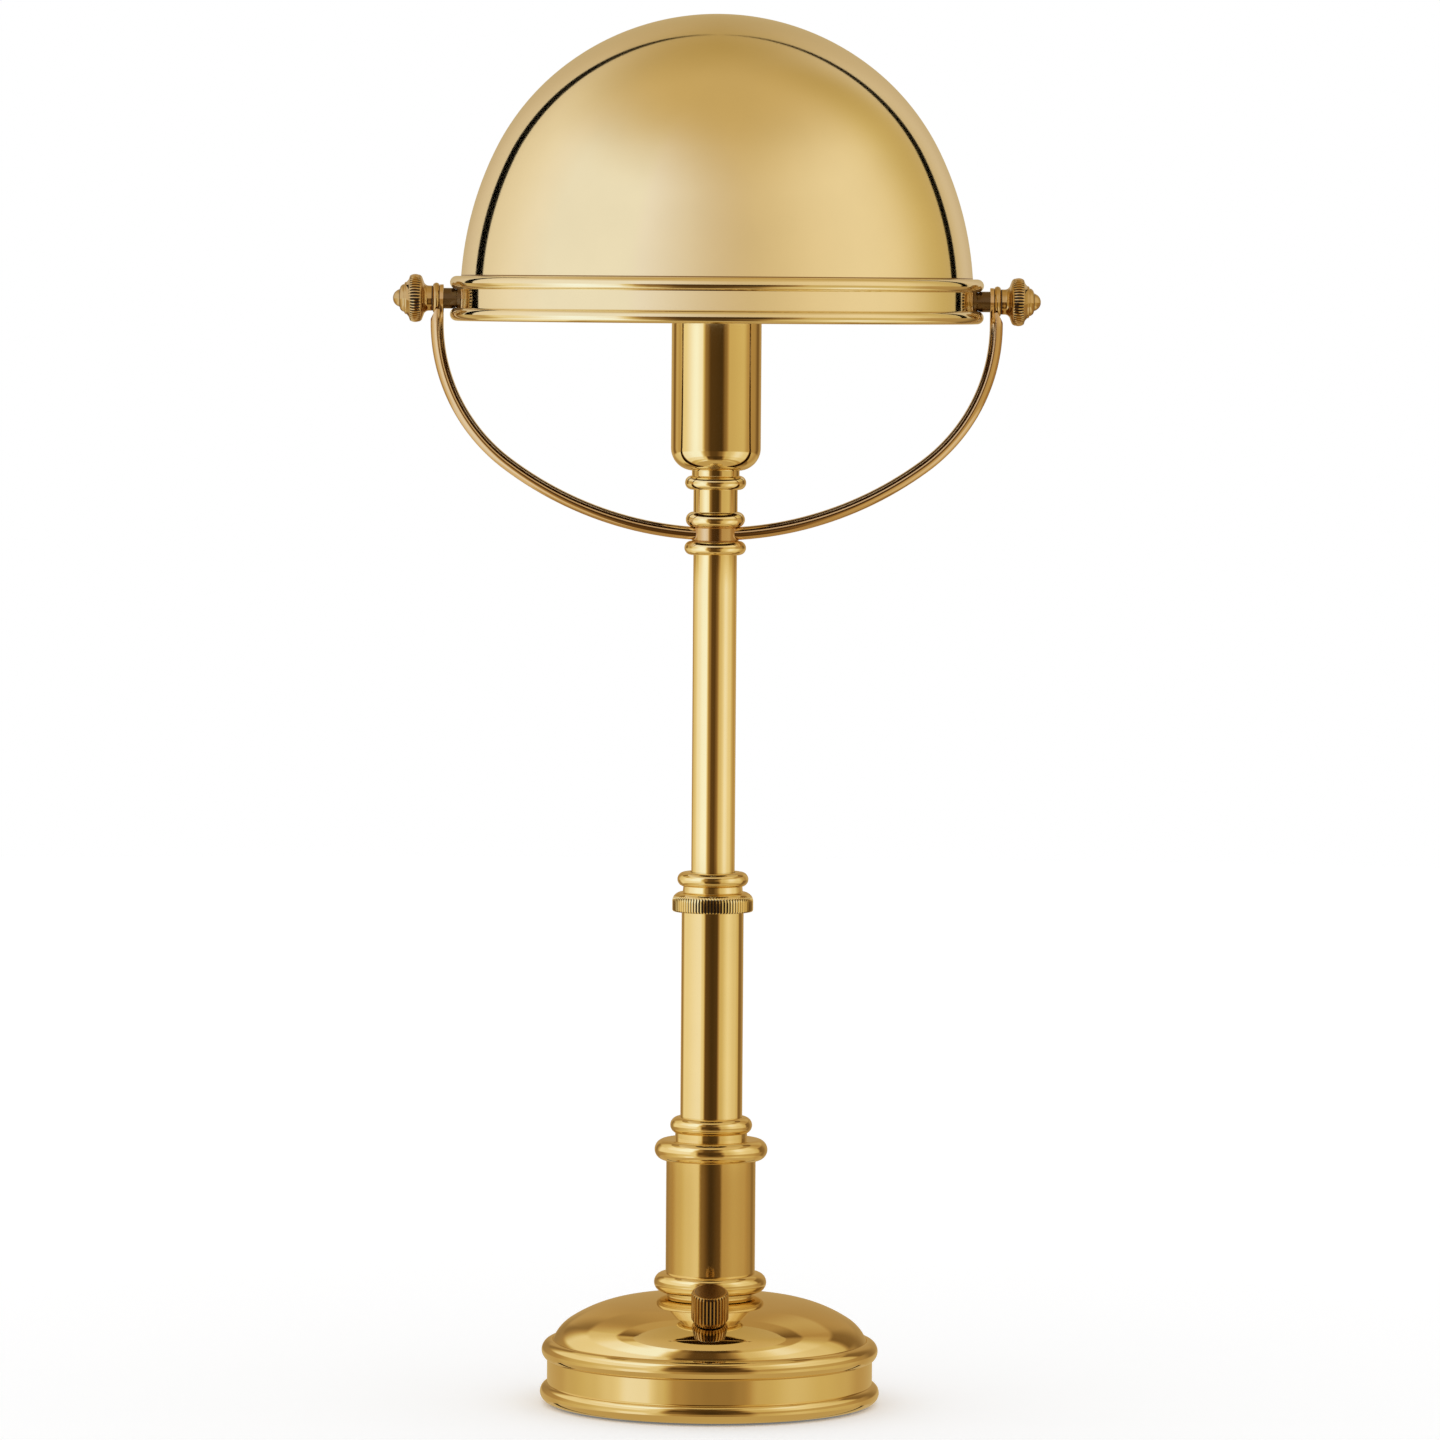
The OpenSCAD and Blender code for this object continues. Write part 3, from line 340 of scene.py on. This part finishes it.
# colour, roughness, and grain where there is some
BRASSES = {
    "polished_brass": ((0.86, 0.70, 0.38), 0.045),
    "satin_brass": ((0.83, 0.66, 0.34), 0.10, 0.06),
    "base_brass": ((0.83, 0.67, 0.36), 0.045),
    "shade_brass": ((0.84, 0.72, 0.46), 0.07),
    # the inside of the dome, painted dark brown as painted shade, so that what reflects it shows a
    # dark underside
    "dome_inside_painted_shade": ((0.22, 0.13, 0.05), 0.5, 0.2),
    # a line of painted shade in the crease where the dome meets the ring
    "rim_crease_painted_shade": ((0.30, 0.17, 0.06), 0.3),
    "yoke_brass": ((0.66, 0.46, 0.25), 0.09),
    # the finials' brass, painted darker than the rest for the darker surroundings that they reflect:
    # painted shade
    "finial_brass_painted_shade": ((0.57, 0.39, 0.17), 0.05),
    # painted shade and dark reflections of the pivot spacers
    "spacer_painted_shade": ((0.13, 0.075, 0.03), 0.25),
    "knob_brass": ((0.52, 0.32, 0.11), 0.14),
    "knob_top": ((0.26, 0.14, 0.05), 0.2),
    "bush_brass": ((0.75, 0.55, 0.25), 0.3, 0.3),
}
# colour, roughness, and 1 for a metal
PLAINS = {
    # dark finish of the knurls: dirt and painted shade in the grooves, painted shade in the seams
    "dirt_and_painted_shade": ((0.035, 0.018, 0.008), 0.6),
    "steel": ((0.62, 0.62, 0.64), 0.35, 1.0),
    "cap_metal": ((0.75, 0.75, 0.77), 0.3, 1.0),
    "iron": ((0.12, 0.12, 0.125), 0.6, 1.0),
    "felt": ((0.02, 0.03, 0.022), 0.95),
    "black_plastic": ((0.02, 0.02, 0.02), 0.45),
    "bush_plastic": ((0.8, 0.78, 0.7), 0.4),
    "holder_plastic": ((0.8, 0.78, 0.72), 0.2),
    "opal_glass": ((0.9, 0.89, 0.86), 0.15),
}
MATERIALS = {name: brass(name, *look) for name, look in BRASSES.items()}
MATERIALS.update({name: plain(name, *look) for name, look in PLAINS.items()})

FINISH_OF = {part["node"]: part["material_slot"] for part in frame["record"]["subparts"]}
# painted shade: darker than the rest, standing in for the shade and dark reflections where the
# spacers sit between the ring and the yoke
FINISH_OF["pivot_spacers"] = "spacer_painted_shade"
for node_name, node in frame["nodes"].items():
    node.data.materials.clear()
    node.data.materials.append(MATERIALS[FINISH_OF[node_name]])


def paint(piece, faces, finish):
    """Gives a slice of a piece's faces a finish of their own."""
    piece.data.materials.append(MATERIALS[finish])
    for face in piece.data.polygons[faces]:
        face.material_index = len(piece.data.materials) - 1


# ---------- turned pieces ----------

SEGMENTS = 384
ON_AXIS = 1e-6


def arc(centre, radius, start, end, steps, inside=False):
    """Points of a turned arc with their normals, angles from the top: [(r, z, nr, nz)]."""
    sign = -1 if inside else 1
    found = []
    for i in range(steps + 1):
        a = math.radians(start + (end - start) * i / steps)
        nr, nz = math.sin(a), math.cos(a)
        found.append((centre[0] + radius * nr, centre[1] + radius * nz, sign * nr, sign * nz))
    return found


def lines(points):
    """Straight stretches of an outline that runs down its outer side, with their normals."""
    found = []
    for (r0, z0), (r1, z1) in zip(points, points[1:]):
        length = math.hypot(r1 - r0, z1 - z0)
        nr, nz = (z0 - z1) / length, (r1 - r0) / length
        found.append([(r0, z0, nr, nz), (r1, z1, nr, nz)])
    return found


def lathe(name, strips, finish, body):
    """Turns strips of (r, z, nr, nz) in millimetres about the Z axis, with exact normals."""
    verts, faces, normals = [], [], []
    index = {}

    def vertex(r, z, k):
        if r < ON_AXIS:
            k = 0
        key = (round(r, 5), round(z, 5), k % SEGMENTS)
        if key not in index:
            a = math.tau * (k % SEGMENTS) / SEGMENTS
            index[key] = len(verts)
            verts.append((r * MM * math.cos(a), r * MM * math.sin(a), z * MM))
        return index[key]

    def normal(p, k):
        a = math.tau * k / SEGMENTS
        return (p[2] * math.cos(a), p[2] * math.sin(a), p[3])

    for strip in strips:
        for p, q in zip(strip, strip[1:]):
            for k in range(SEGMENTS):
                corners = [(p, k), (q, k), (q, k + 1), (p, k + 1)]
                face, face_normals = [], []
                for point, step in corners:
                    v = vertex(point[0], point[1], step)
                    if v not in face:
                        face.append(v)
                        face_normals.append(normal(point, step))
                if len(face) < 3:
                    continue
                faces.append(face)
                normals.extend(face_normals)
    mesh = bpy.data.meshes.new(name)
    mesh.from_pydata(verts, [], faces)
    mesh.polygons.foreach_set("use_smooth", [True] * len(faces))
    mesh.normals_split_custom_set(normals)
    mesh.materials.append(MATERIALS[finish])
    piece = bpy.data.objects.new(name, mesh)
    bpy.context.scene.collection.objects.link(piece)
    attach(piece, body)
    return piece


# ---------- shade ----------

ring_low, ring_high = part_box("shade_ring")
dome_low, dome_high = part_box("shade_dome")
PIVOT_Z = (ring_low.z + ring_high.z) / 2 / MM
RING_H = (ring_high.z - ring_low.z) / MM
CROWN_R = 99.8
SHOULDER_R = 95.5
SKIRT_R = 134.5
CROWN_ANGLE = 39.0
SHOULDER_ANGLE = 64.0
SHADE_WALL = 0.9
# how much of the skirt's arc the dark line above the ring takes up, which is painted shade in the
# crease where the dome meets the ring
SEAM_ANGLE = 0.2


def shade_arcs(inset, inside):
    """Arcs that meet without a bend, from the crown down to the top of the ring."""
    crown, shoulder = math.radians(CROWN_ANGLE), math.radians(SHOULDER_ANGLE)
    shoulder_x = (CROWN_R - SHOULDER_R) * math.sin(crown)
    skirt_x = shoulder_x + (SHOULDER_R - SKIRT_R) * math.sin(shoulder)
    shoulder_z = PIVOT_Z + (SKIRT_R - SHOULDER_R) * math.cos(shoulder)
    crown_z = shoulder_z - (CROWN_R - SHOULDER_R) * math.cos(crown)
    rim_angle = math.degrees(math.acos(RING_H / 2 / SKIRT_R))
    seam_angle = rim_angle - SEAM_ANGLE
    points = arc((0, crown_z), CROWN_R - inset, 0, CROWN_ANGLE, 40, inside)
    for centre, radius, start, end, steps in (
            ((shoulder_x, shoulder_z), SHOULDER_R, CROWN_ANGLE, SHOULDER_ANGLE, 24),
            ((skirt_x, PIVOT_Z), SKIRT_R, SHOULDER_ANGLE, seam_angle, 16),
            ((skirt_x, PIVOT_Z), SKIRT_R, seam_angle, rim_angle, 1)):
        points += arc(centre, radius - inset, start, end, steps, inside)[1:]
    return points


def make_shade():
    outer = shade_arcs(0, False)
    inner = shade_arcs(SHADE_WALL, True)[::-1]
    low, rim = dome_low.z / MM, outer[-1][0]
    foot = lines([outer[-1][:2], (rim, low), (rim - SHADE_WALL, low), inner[0][:2]])
    dome = lathe("dome", [outer, *foot, inner], "shade_brass", "shade")
    # the inside of the dome is painted dark: painted shade under the dome
    paint(dome, slice(-(len(inner) - 1) * SEGMENTS, None), "dome_inside_painted_shade")
    # the last short arc above the ring is painted dark: painted shade in that crease
    paint(dome, slice((len(outer) - 2) * SEGMENTS, (len(outer) - 1) * SEGMENTS), "rim_crease_painted_shade")
    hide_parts("shade_dome")


# ---------- base ----------

base_low, base_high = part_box("base_shell")
BASE_R = base_high.x / MM
FELT_LIFT = base_low.z / MM
FLOOR_BEAD = 3.8
BAND_INSET = 2.8
RIM_BEAD = 4.2
RIM_INSET = 0.6
RIM_BEAD_Z = 21.0
DOME_H = 43.99
# radius of each arc of the dome and the angle from the top at which it ends
DOME_ARCS = [(215, 9.5), (55, 33), (17, 69)]
DOME_STEPS = 24
BEAD_STEPS = 32
FOOT_NECK_R = 17.5
ROD_BORE_R = 4.9
PLATE_Z = 2.4
PLATE_BORE_R = 20


def base_dome():
    """Arcs that meet without a bend, from the column's foot down to the rim."""
    radius, last = DOME_ARCS[0]
    r, z = 0, DOME_H - radius
    start = math.degrees(math.asin(FOOT_NECK_R / radius))
    points = arc((r, z), radius, start, last, DOME_STEPS)
    for next_radius, end in DOME_ARCS[1:]:
        turn = math.radians(last)
        r += (radius - next_radius) * math.sin(turn)
        z += (radius - next_radius) * math.cos(turn)
        points += arc((r, z), next_radius, last, end, DOME_STEPS)[1:]
        radius, last = next_radius, end
    return points


def make_base():
    dome = base_dome()
    band_r = BASE_R - BAND_INSET
    rim_c = (BASE_R - RIM_INSET - RIM_BEAD, RIM_BEAD_Z)
    foot_c = (BASE_R - FLOOR_BEAD, FELT_LIFT + FLOOR_BEAD)
    rim_to = 180 - math.degrees(math.asin((band_r - rim_c[0]) / RIM_BEAD))
    foot_from = math.degrees(math.asin((band_r - foot_c[0]) / FLOOR_BEAD))
    rim = arc(rim_c, RIM_BEAD, 0, rim_to, BEAD_STEPS)
    foot = arc(foot_c, FLOOR_BEAD, foot_from, 180, BEAD_STEPS)
    land = lines([(ROD_BORE_R, dome[0][1]), dome[0][:2]])
    wall = lines([dome[-1][:2], rim[0][:2]])
    band = lines([rim[-1][:2], foot[0][:2]])
    under = lines([foot[-1][:2], (foot[-1][0], PLATE_Z), (PLATE_BORE_R, PLATE_Z)])
    strips = [*land, dome, *wall, rim, *band, foot, *under]
    shell = lathe("base_dome", strips, "base_brass", "base_body")
    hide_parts("base_shell")


# ---------- yoke ----------

yoke_low, yoke_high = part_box("yoke")
BAR_T = 5.0
BAR_W = 11.0
TAB_T = 1.4
BOSS_R = 9.4
BOSS_H = 5.4
BOSS_CHAMFER = 0.3
SOLDER_R = 2.2
SOLDER_SINK = 0.1
SOLDER_INSET = 0.8
YOKE_STRAIGHT = 9.5
YOKE_SIDE_R = 70.0
SPOT_R = 6.9
SPOT_DEPTH = 2.2
STUD_BORE_R = 2.58
PIPE_BORE_R = 5.05
# how far a cutter reaches past what it cuts
OVER = 1
YOKE_SHARP_DEG = 35
ARM_X = yoke_high.x / MM - BAR_T / 2
YOKE_IN_X = ARM_X - BAR_T / 2
BOSS_Z = yoke_low.z / MM
YOKE_DROP = PIVOT_Z - BOSS_Z - BOSS_H / 2
TO_RIGHT = Matrix.Rotation(math.pi / 2, 4, "Y")


def facing(side):
    """Turns what points up towards the lamp's right, or its left where the side is -1."""
    return TO_RIGHT if side > 0 else Matrix.Rotation(math.pi, 4, "Z") @ TO_RIGHT


def new_piece(name, verts, faces):
    mesh = bpy.data.meshes.new(name)
    mesh.from_pydata([(x * MM, y * MM, z * MM) for x, y, z in verts], [], faces)
    piece = bpy.data.objects.new(name, mesh)
    bpy.context.scene.collection.objects.link(piece)
    return piece


def bake(piece):
    graph = bpy.context.evaluated_depsgraph_get()
    mesh = bpy.data.meshes.new_from_object(piece.evaluated_get(graph))
    piece.modifiers.clear()
    piece.data = mesh


def combine(piece, other, operation):
    """Joins a piece with another closed mesh or cuts it with one, which is used up."""
    step = piece.modifiers.new(operation, "BOOLEAN")
    step.object, step.operation, step.solver = other, operation, "EXACT"
    bake(piece)
    bpy.data.objects.remove(other)


def smooth(piece, angle):
    """Smooth shading that keeps flat faces flat and edges sharper than the angle."""
    piece.data.polygons.foreach_set("use_smooth", [True] * len(piece.data.polygons))
    piece.data.set_sharp_from_angle(angle=math.radians(angle))
    weighted = piece.modifiers.new("normals", "WEIGHTED_NORMAL")
    weighted.keep_sharp = True
    bake(piece)


def solid_of_revolution(name, outline, place, segments=96):
    """Closed mesh turned from an outline of (r, z) that starts and ends on the axis."""
    rim = outline[1:-1]
    verts = [(0, 0, outline[0][1]), (0, 0, outline[-1][1])]
    for k in range(segments):
        a = math.tau * k / segments
        verts += [(r * math.cos(a), r * math.sin(a), z) for r, z in rim]
    faces = []
    for k in range(segments):
        a, b = 2 + k * len(rim), 2 + (k + 1) % segments * len(rim)
        faces.append((0, b, a))
        for i in range(len(rim) - 1):
            faces.append((a + i, b + i, b + i + 1, a + i + 1))
        faces.append((1, a + len(rim) - 1, b + len(rim) - 1))
    return new_piece(name, [place @ Vector(v) for v in verts], faces)


def rod(radius, low, high):
    """Outline of a plain rod or disc."""
    return [(0, low), (radius, low), (radius, high), (0, high)]


def bar_section(edge_steps=16, hold=0.25):
    """Flat faces with full round edges: [(outwards, along Y)]."""
    flat = (BAR_W - BAR_T) / 2
    section = []
    for end in (1, -1):
        for i in range(edge_steps + 1):
            a = math.pi * i / edge_steps
            section.append((end * math.cos(a) * BAR_T / 2, end * (flat + math.sin(a) * BAR_T / 2)))
        section.append((-end * BAR_T / 2, end * (flat - hold)))
        section.append((-end * BAR_T / 2, -end * (flat - hold)))
    return section


def arm_path(step=1.5):
    """Stations of the right arm from the middle outwards: (x, z, angle of the bar)."""
    drop = YOKE_DROP - YOKE_STRAIGHT
    low_r = (ARM_X ** 2 - 2 * ARM_X * YOKE_SIDE_R + drop ** 2) / (2 * (drop - YOKE_SIDE_R))
    low_z = PIVOT_Z - YOKE_DROP + low_r
    side_x, side_z = ARM_X - YOKE_SIDE_R, PIVOT_Z - YOKE_STRAIGHT
    bend = math.atan2(side_x, low_z - side_z)
    path = []
    for centre, radius, start, end in (((0, low_z), low_r, 0, bend),
                                       ((side_x, side_z), YOKE_SIDE_R, bend, math.pi / 2)):
        count = math.ceil(math.degrees(end - start) / step)
        for i in range(1 if path else 0, count + 1):
            a = start + (end - start) * i / count
            path.append((centre[0] + radius * math.sin(a), centre[1] - radius * math.cos(a), a))
    return path + [(ARM_X, PIVOT_Z, math.pi / 2)]


def bent_bar():
    section = bar_section()
    right = arm_path()
    path = [(-x, z, -a) for x, z, a in right[:0:-1]] + right
    verts = [(x + p * math.sin(a), q, z - p * math.cos(a)) for x, z, a in path for p, q in section]
    n, last = len(section), (len(path) - 1) * len(section)
    faces = [(i * n + k, (i + 1) * n + k, (i + 1) * n + (k + 1) % n, i * n + (k + 1) % n)
             for i in range(len(path) - 1) for k in range(n)]
    faces += [tuple(range(n)), tuple(range(last + n - 1, last - 1, -1))]
    return new_piece("yoke_bar", verts, faces)


def solder(side, end, steps=12):
    """Block that fills one notch between the boss and an arm, with a hollow face."""
    cy = BAR_W / 2 - BAR_T / 2 + SOLDER_R
    cx = math.sqrt((BOSS_R + SOLDER_R - SOLDER_SINK) ** 2 - cy ** 2)
    start, finish = math.atan2(-cy, -cx), -math.pi / 2
    hollow = [(cx + SOLDER_R * math.cos(a), cy + SOLDER_R * math.sin(a))
              for a in (start + (finish - start) * i / steps for i in range(steps + 1))]
    outline = [(side * x, end * y) for x, y in [(0, 0)] + hollow + [(cx, 0)]]
    half = (BAR_T - SOLDER_INSET) / 2
    middle = BOSS_Z + BOSS_H / 2
    n = len(outline)
    verts = [(x, y, middle + z) for z in (-half, half) for x, y in outline]
    faces = [tuple(range(n)), tuple(range(2 * n - 1, n - 1, -1))]
    faces += [(k, k + n, (k + 1) % n + n, (k + 1) % n) for k in range(n)]
    if side * end < 0:
        faces = [face[::-1] for face in faces]
    return new_piece("solder", verts, faces)


def make_yoke():
    yoke = bent_bar()
    here, top, edge_r = Matrix.Identity(4), BOSS_Z + BOSS_H, BOSS_R - BOSS_CHAMFER
    boss = [(0, BOSS_Z), (edge_r, BOSS_Z), (BOSS_R, BOSS_Z + BOSS_CHAMFER),
            (BOSS_R, top - BOSS_CHAMFER), (edge_r, top), (0, top)]
    combine(yoke, solid_of_revolution("boss", boss, here, 128), "UNION")
    face, out = YOKE_IN_X + TAB_T, YOKE_IN_X + BAR_T
    spot = [(0, face), (SPOT_R, face), (SPOT_R, out - SPOT_DEPTH),
            (SPOT_R + SPOT_DEPTH + OVER, out + OVER), (0, out + OVER)]
    for side in (1, -1):
        for end in (1, -1):
            combine(yoke, solder(side, end), "UNION")
        at_eye = Matrix.Translation((0, 0, PIVOT_Z)) @ facing(side)
        tab = rod(BAR_W / 2, YOKE_IN_X, face)
        combine(yoke, solid_of_revolution("tab", tab, at_eye), "UNION")
        combine(yoke, solid_of_revolution("spot", spot, at_eye), "DIFFERENCE")
        bore = rod(STUD_BORE_R, YOKE_IN_X - OVER, out)
        combine(yoke, solid_of_revolution("bore", bore, at_eye, 48), "DIFFERENCE")
    bore = rod(PIPE_BORE_R, BOSS_Z - OVER, top + OVER)
    combine(yoke, solid_of_revolution("bore", bore, here, 64), "DIFFERENCE")
    smooth(yoke, YOKE_SHARP_DEG)
    yoke.data.materials.clear()
    yoke.data.materials.append(MATERIALS["yoke_brass"])
    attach(yoke, "mast")
    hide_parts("yoke")


# ---------- knurled pieces ----------

# one rib and one groove: how deep the outline is cut, from 0 to 1
RIB_CUT = (0, 0, 0, 0, 0.6, 1, 1, 0.6)
GROOVE_STEPS = (4, 5, 6)
# share of the grooves' depth below which no dirt and painted shade darkens them
DARK_GROOVE_DEPTH = 0.75
KNURL_SHARP_DEG = 32


def knurled(name, outline, crest_r, depth, ribs, place, material, seams=()):
    """Turned piece with straight grooves that run out where its outline drops below them.

    The outline is a loop of (r, z), or starts and ends on the axis. A dark finish of dirt and
    painted shade darkens the grooves, and painted shade darkens the seams, which are the
    stretches of the outline that start at these points.
    """
    samples = len(RIB_CUT)
    segments = ribs * samples
    open_ended = outline[0][0] == 0
    verts, rings = [], []
    for r, z in outline:
        if r == 0:
            rings.append([len(verts)] * segments)
            verts.append(place @ Vector((0, 0, z)))
            continue
        rings.append(list(range(len(verts), len(verts) + segments)))
        for k in range(segments):
            a = math.tau * k / segments
            r_here = min(r, crest_r - depth * RIB_CUT[k % samples])
            verts.append(place @ Vector((r_here * math.cos(a), r_here * math.sin(a), z)))
    stretches = list(zip(rings, rings[1:], outline, outline[1:]))
    if not open_ended:
        stretches.append((rings[-1], rings[0], outline[-1], outline[0]))
    faces, darkened = [], []
    for index, (upper, lower, start, end) in enumerate(stretches):
        cut = min(start[0], end[0]) > crest_r - DARK_GROOVE_DEPTH * depth
        for k in range(segments):
            j = (k + 1) % segments
            corners = [upper[k], lower[k], lower[j], upper[j]]
            faces.append([v for i, v in enumerate(corners) if v not in corners[:i]])
            # groove faces get dirt and painted shade, seam faces get painted shade
            darkened.append(int(index in seams or cut and k % samples in GROOVE_STEPS))
    piece = new_piece(name, verts, faces)
    piece.data.materials.append(MATERIALS[material])
    piece.data.materials.append(MATERIALS["dirt_and_painted_shade"])
    piece.data.polygons.foreach_set("material_index", darkened)
    return piece


def outline_arc(centre, radius, start, end, steps):
    return [(r, z) for r, z, _, _ in arc(centre, radius, start, end, steps)]


FINIAL_R = 9.55
FINIAL_RIBS = 48
FINIAL_DEPTH = 0.75
TIP_R = 3.6
# how far the knurled crest is behind the tip
CREST_BACK = 8.9
CREST_BEAD = 4.05
NECK_R = 5.0
NECK_FILLET = 2.2
NECK_END = 3.15
FLANGE_BEAD = 1.4
FLANGE_X = YOKE_IN_X + TAB_T + 0.08
STUD_R = 2.5


def make_finial(side, node):
    low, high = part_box(node)
    stud_end = min(abs(low.x), abs(high.x)) / MM - FLANGE_X
    tip = max(abs(low.x), abs(high.x)) / MM - FLANGE_X
    crest = tip - CREST_BACK
    # button and two steps, each with a seam of painted shade behind it, then the crest and the neck
    outline = [(0, tip)]
    outline += outline_arc((0, tip - TIP_R), TIP_R, 6, 74, 10)
    seams = [len(outline) - 1]
    outline += outline_arc((3.5, tip - 4.8), 2.05, 8, 84, 8)
    seams.append(len(outline) - 1)
    outline += outline_arc((5.7, tip - 5.3), 0.7, 4, 90, 5)
    outline += [(6.45, tip - 5.5), (7.5, tip - 6.35)]
    outline += outline_arc((7.75, crest + 0.9), 1.6, 40, 72, 6)
    outline += outline_arc((FINIAL_R - CREST_BEAD, crest), CREST_BEAD, 72, 110, 16)
    outline += outline_arc((7.65, crest - 1.2), 1.7, 96, 150, 8)
    outline += outline_arc((NECK_R + NECK_FILLET, 4.3), NECK_FILLET, 350, 270, 10)
    outline += [(NECK_R, NECK_END)]
    # a seam of painted shade where the neck meets the flange
    seams.append(len(outline) - 1)
    outline += outline_arc((4.8, FLANGE_BEAD), FLANGE_BEAD, 5, 180, 14)
    outline += [(STUD_R, 0), (STUD_R, stud_end), (0, stud_end)]
    place = Matrix.Translation((side * FLANGE_X, 0, PIVOT_Z)) @ facing(side)
    # the finials' darker brass is painted shade
    finial = knurled(node + "_turned", outline, FINIAL_R, FINIAL_DEPTH, FINIAL_RIBS, place,
                     "finial_brass_painted_shade", seams)
    smooth(finial, KNURL_SHARP_DEG)
    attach(finial, node)
    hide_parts(node)


LOCK_RIBS = 80
LOCK_DEPTH = 0.7
LOCK_NECK_R = 12.0
LOCK_BEAD = 2.9
LOCK_BEAD_OVER_R = 14.2
LOCK_EDGE_R = 0.8
LOCK_SHOULDER_Z = 4.2
LOCK_SHOULDER_H = 3.7
LOCK_SHOULDER_STEPS = 18
LOCK_BORE_H = 6.3
# the tubes' radii and the room that the lock collar leaves round them
OUTER_R = 12.4
OUTER_ROOM = 0.08
UPPER_R = 8.7
UPPER_ROOM = 0.3


def make_lock_collar():
    low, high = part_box("lock_collar")
    lock_r, foot, top = high.x / MM, low.z / MM, high.z / MM
    shoulder, ceiling = foot + LOCK_SHOULDER_Z, foot + LOCK_BORE_H
    outline = outline_arc((LOCK_BEAD_OVER_R - LOCK_BEAD, top - LOCK_BEAD), LOCK_BEAD, 0, 170, 24)
    outline += [(LOCK_NECK_R, shoulder + LOCK_SHOULDER_H + 0.25)]
    for i in range(LOCK_SHOULDER_STEPS + 1):
        a = math.radians(90 * i / LOCK_SHOULDER_STEPS)
        outline.append((LOCK_NECK_R + (lock_r - LOCK_NECK_R) * math.sin(a),
                        shoulder + LOCK_SHOULDER_H * math.cos(a)))
    outline += outline_arc((lock_r - LOCK_EDGE_R, foot + LOCK_EDGE_R), LOCK_EDGE_R, 90, 180, 8)
    outline += [(OUTER_R + OUTER_ROOM, foot), (OUTER_R + OUTER_ROOM, ceiling),
                (UPPER_R + UPPER_ROOM, ceiling), (UPPER_R + UPPER_ROOM, top)]
    collar = knurled("lock_ring", outline, lock_r, LOCK_DEPTH, LOCK_RIBS, Matrix.Identity(4),
                     "polished_brass")
    smooth(collar, KNURL_SHARP_DEG)
    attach(collar, "lock_collar")
    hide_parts("lock_collar")


KNOB_R = 7.4
KNOB_L = 13.4
KNOB_GAP = 0.9
KNOB_LEAN_DEG = 20
KNOB_INSET = 22.5
KNOB_RIBS = 32
KNOB_DEPTH = 0.8
KNOB_EDGE = 1.2
KNOB_EDGE_R = 0.9
KNOB_TAPER_H = 1.8
KNOB_RECESS_R = 6.0
KNOB_RECESS_LIP = 0.2
KNOB_RECESS = 3.4
SHAFT_R = 3.05
# how far the shaft's bore stops below the knob's top
SHAFT_STOP = 2.95


def make_knob():
    low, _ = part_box("control_knob")
    top, foot, ceiling = KNOB_GAP + KNOB_L, KNOB_GAP, KNOB_GAP + KNOB_RECESS
    outline = [(0, top), (KNOB_R - KNOB_EDGE, top)]
    outline += outline_arc((KNOB_R - KNOB_EDGE, top - KNOB_EDGE_R), KNOB_EDGE_R, 15, 60, 5)
    outline += [(KNOB_R, top - KNOB_EDGE), (KNOB_R, foot + KNOB_TAPER_H),
                (KNOB_RECESS_R + KNOB_RECESS_LIP, foot), (KNOB_RECESS_R, foot),
                (KNOB_RECESS_R, ceiling), (SHAFT_R, ceiling),
                (SHAFT_R, top - SHAFT_STOP), (0, top - SHAFT_STOP)]
    lean = math.radians(KNOB_LEAN_DEG)
    # the box's lowest edge is the front of the knob's foot
    foot_z = low.z / MM + (KNOB_R - KNOB_DEPTH) * math.sin(lean) - KNOB_GAP * math.cos(lean)
    place = Matrix.Translation((0, KNOB_INSET - BASE_R, foot_z)) @ Matrix.Rotation(lean, 4, "X")
    knob = knurled("dimmer_knob", outline, KNOB_R, KNOB_DEPTH, KNOB_RIBS, place, "knob_brass")
    paint(knob, slice(0, KNOB_RIBS * len(RIB_CUT)), "knob_top")
    smooth(knob, KNURL_SHARP_DEG)
    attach(knob, "knob")
    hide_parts("control_knob")


# ---------- the scene ----------

make_shade()
make_base()
make_yoke()
make_knob()
make_finial(-1, "finial_left")
make_finial(1, "finial_right")
make_lock_collar()

make_camera()
make_world()
make_floor()
make_screens()

scene = bpy.context.scene
scene.view_settings.view_transform = "Standard"
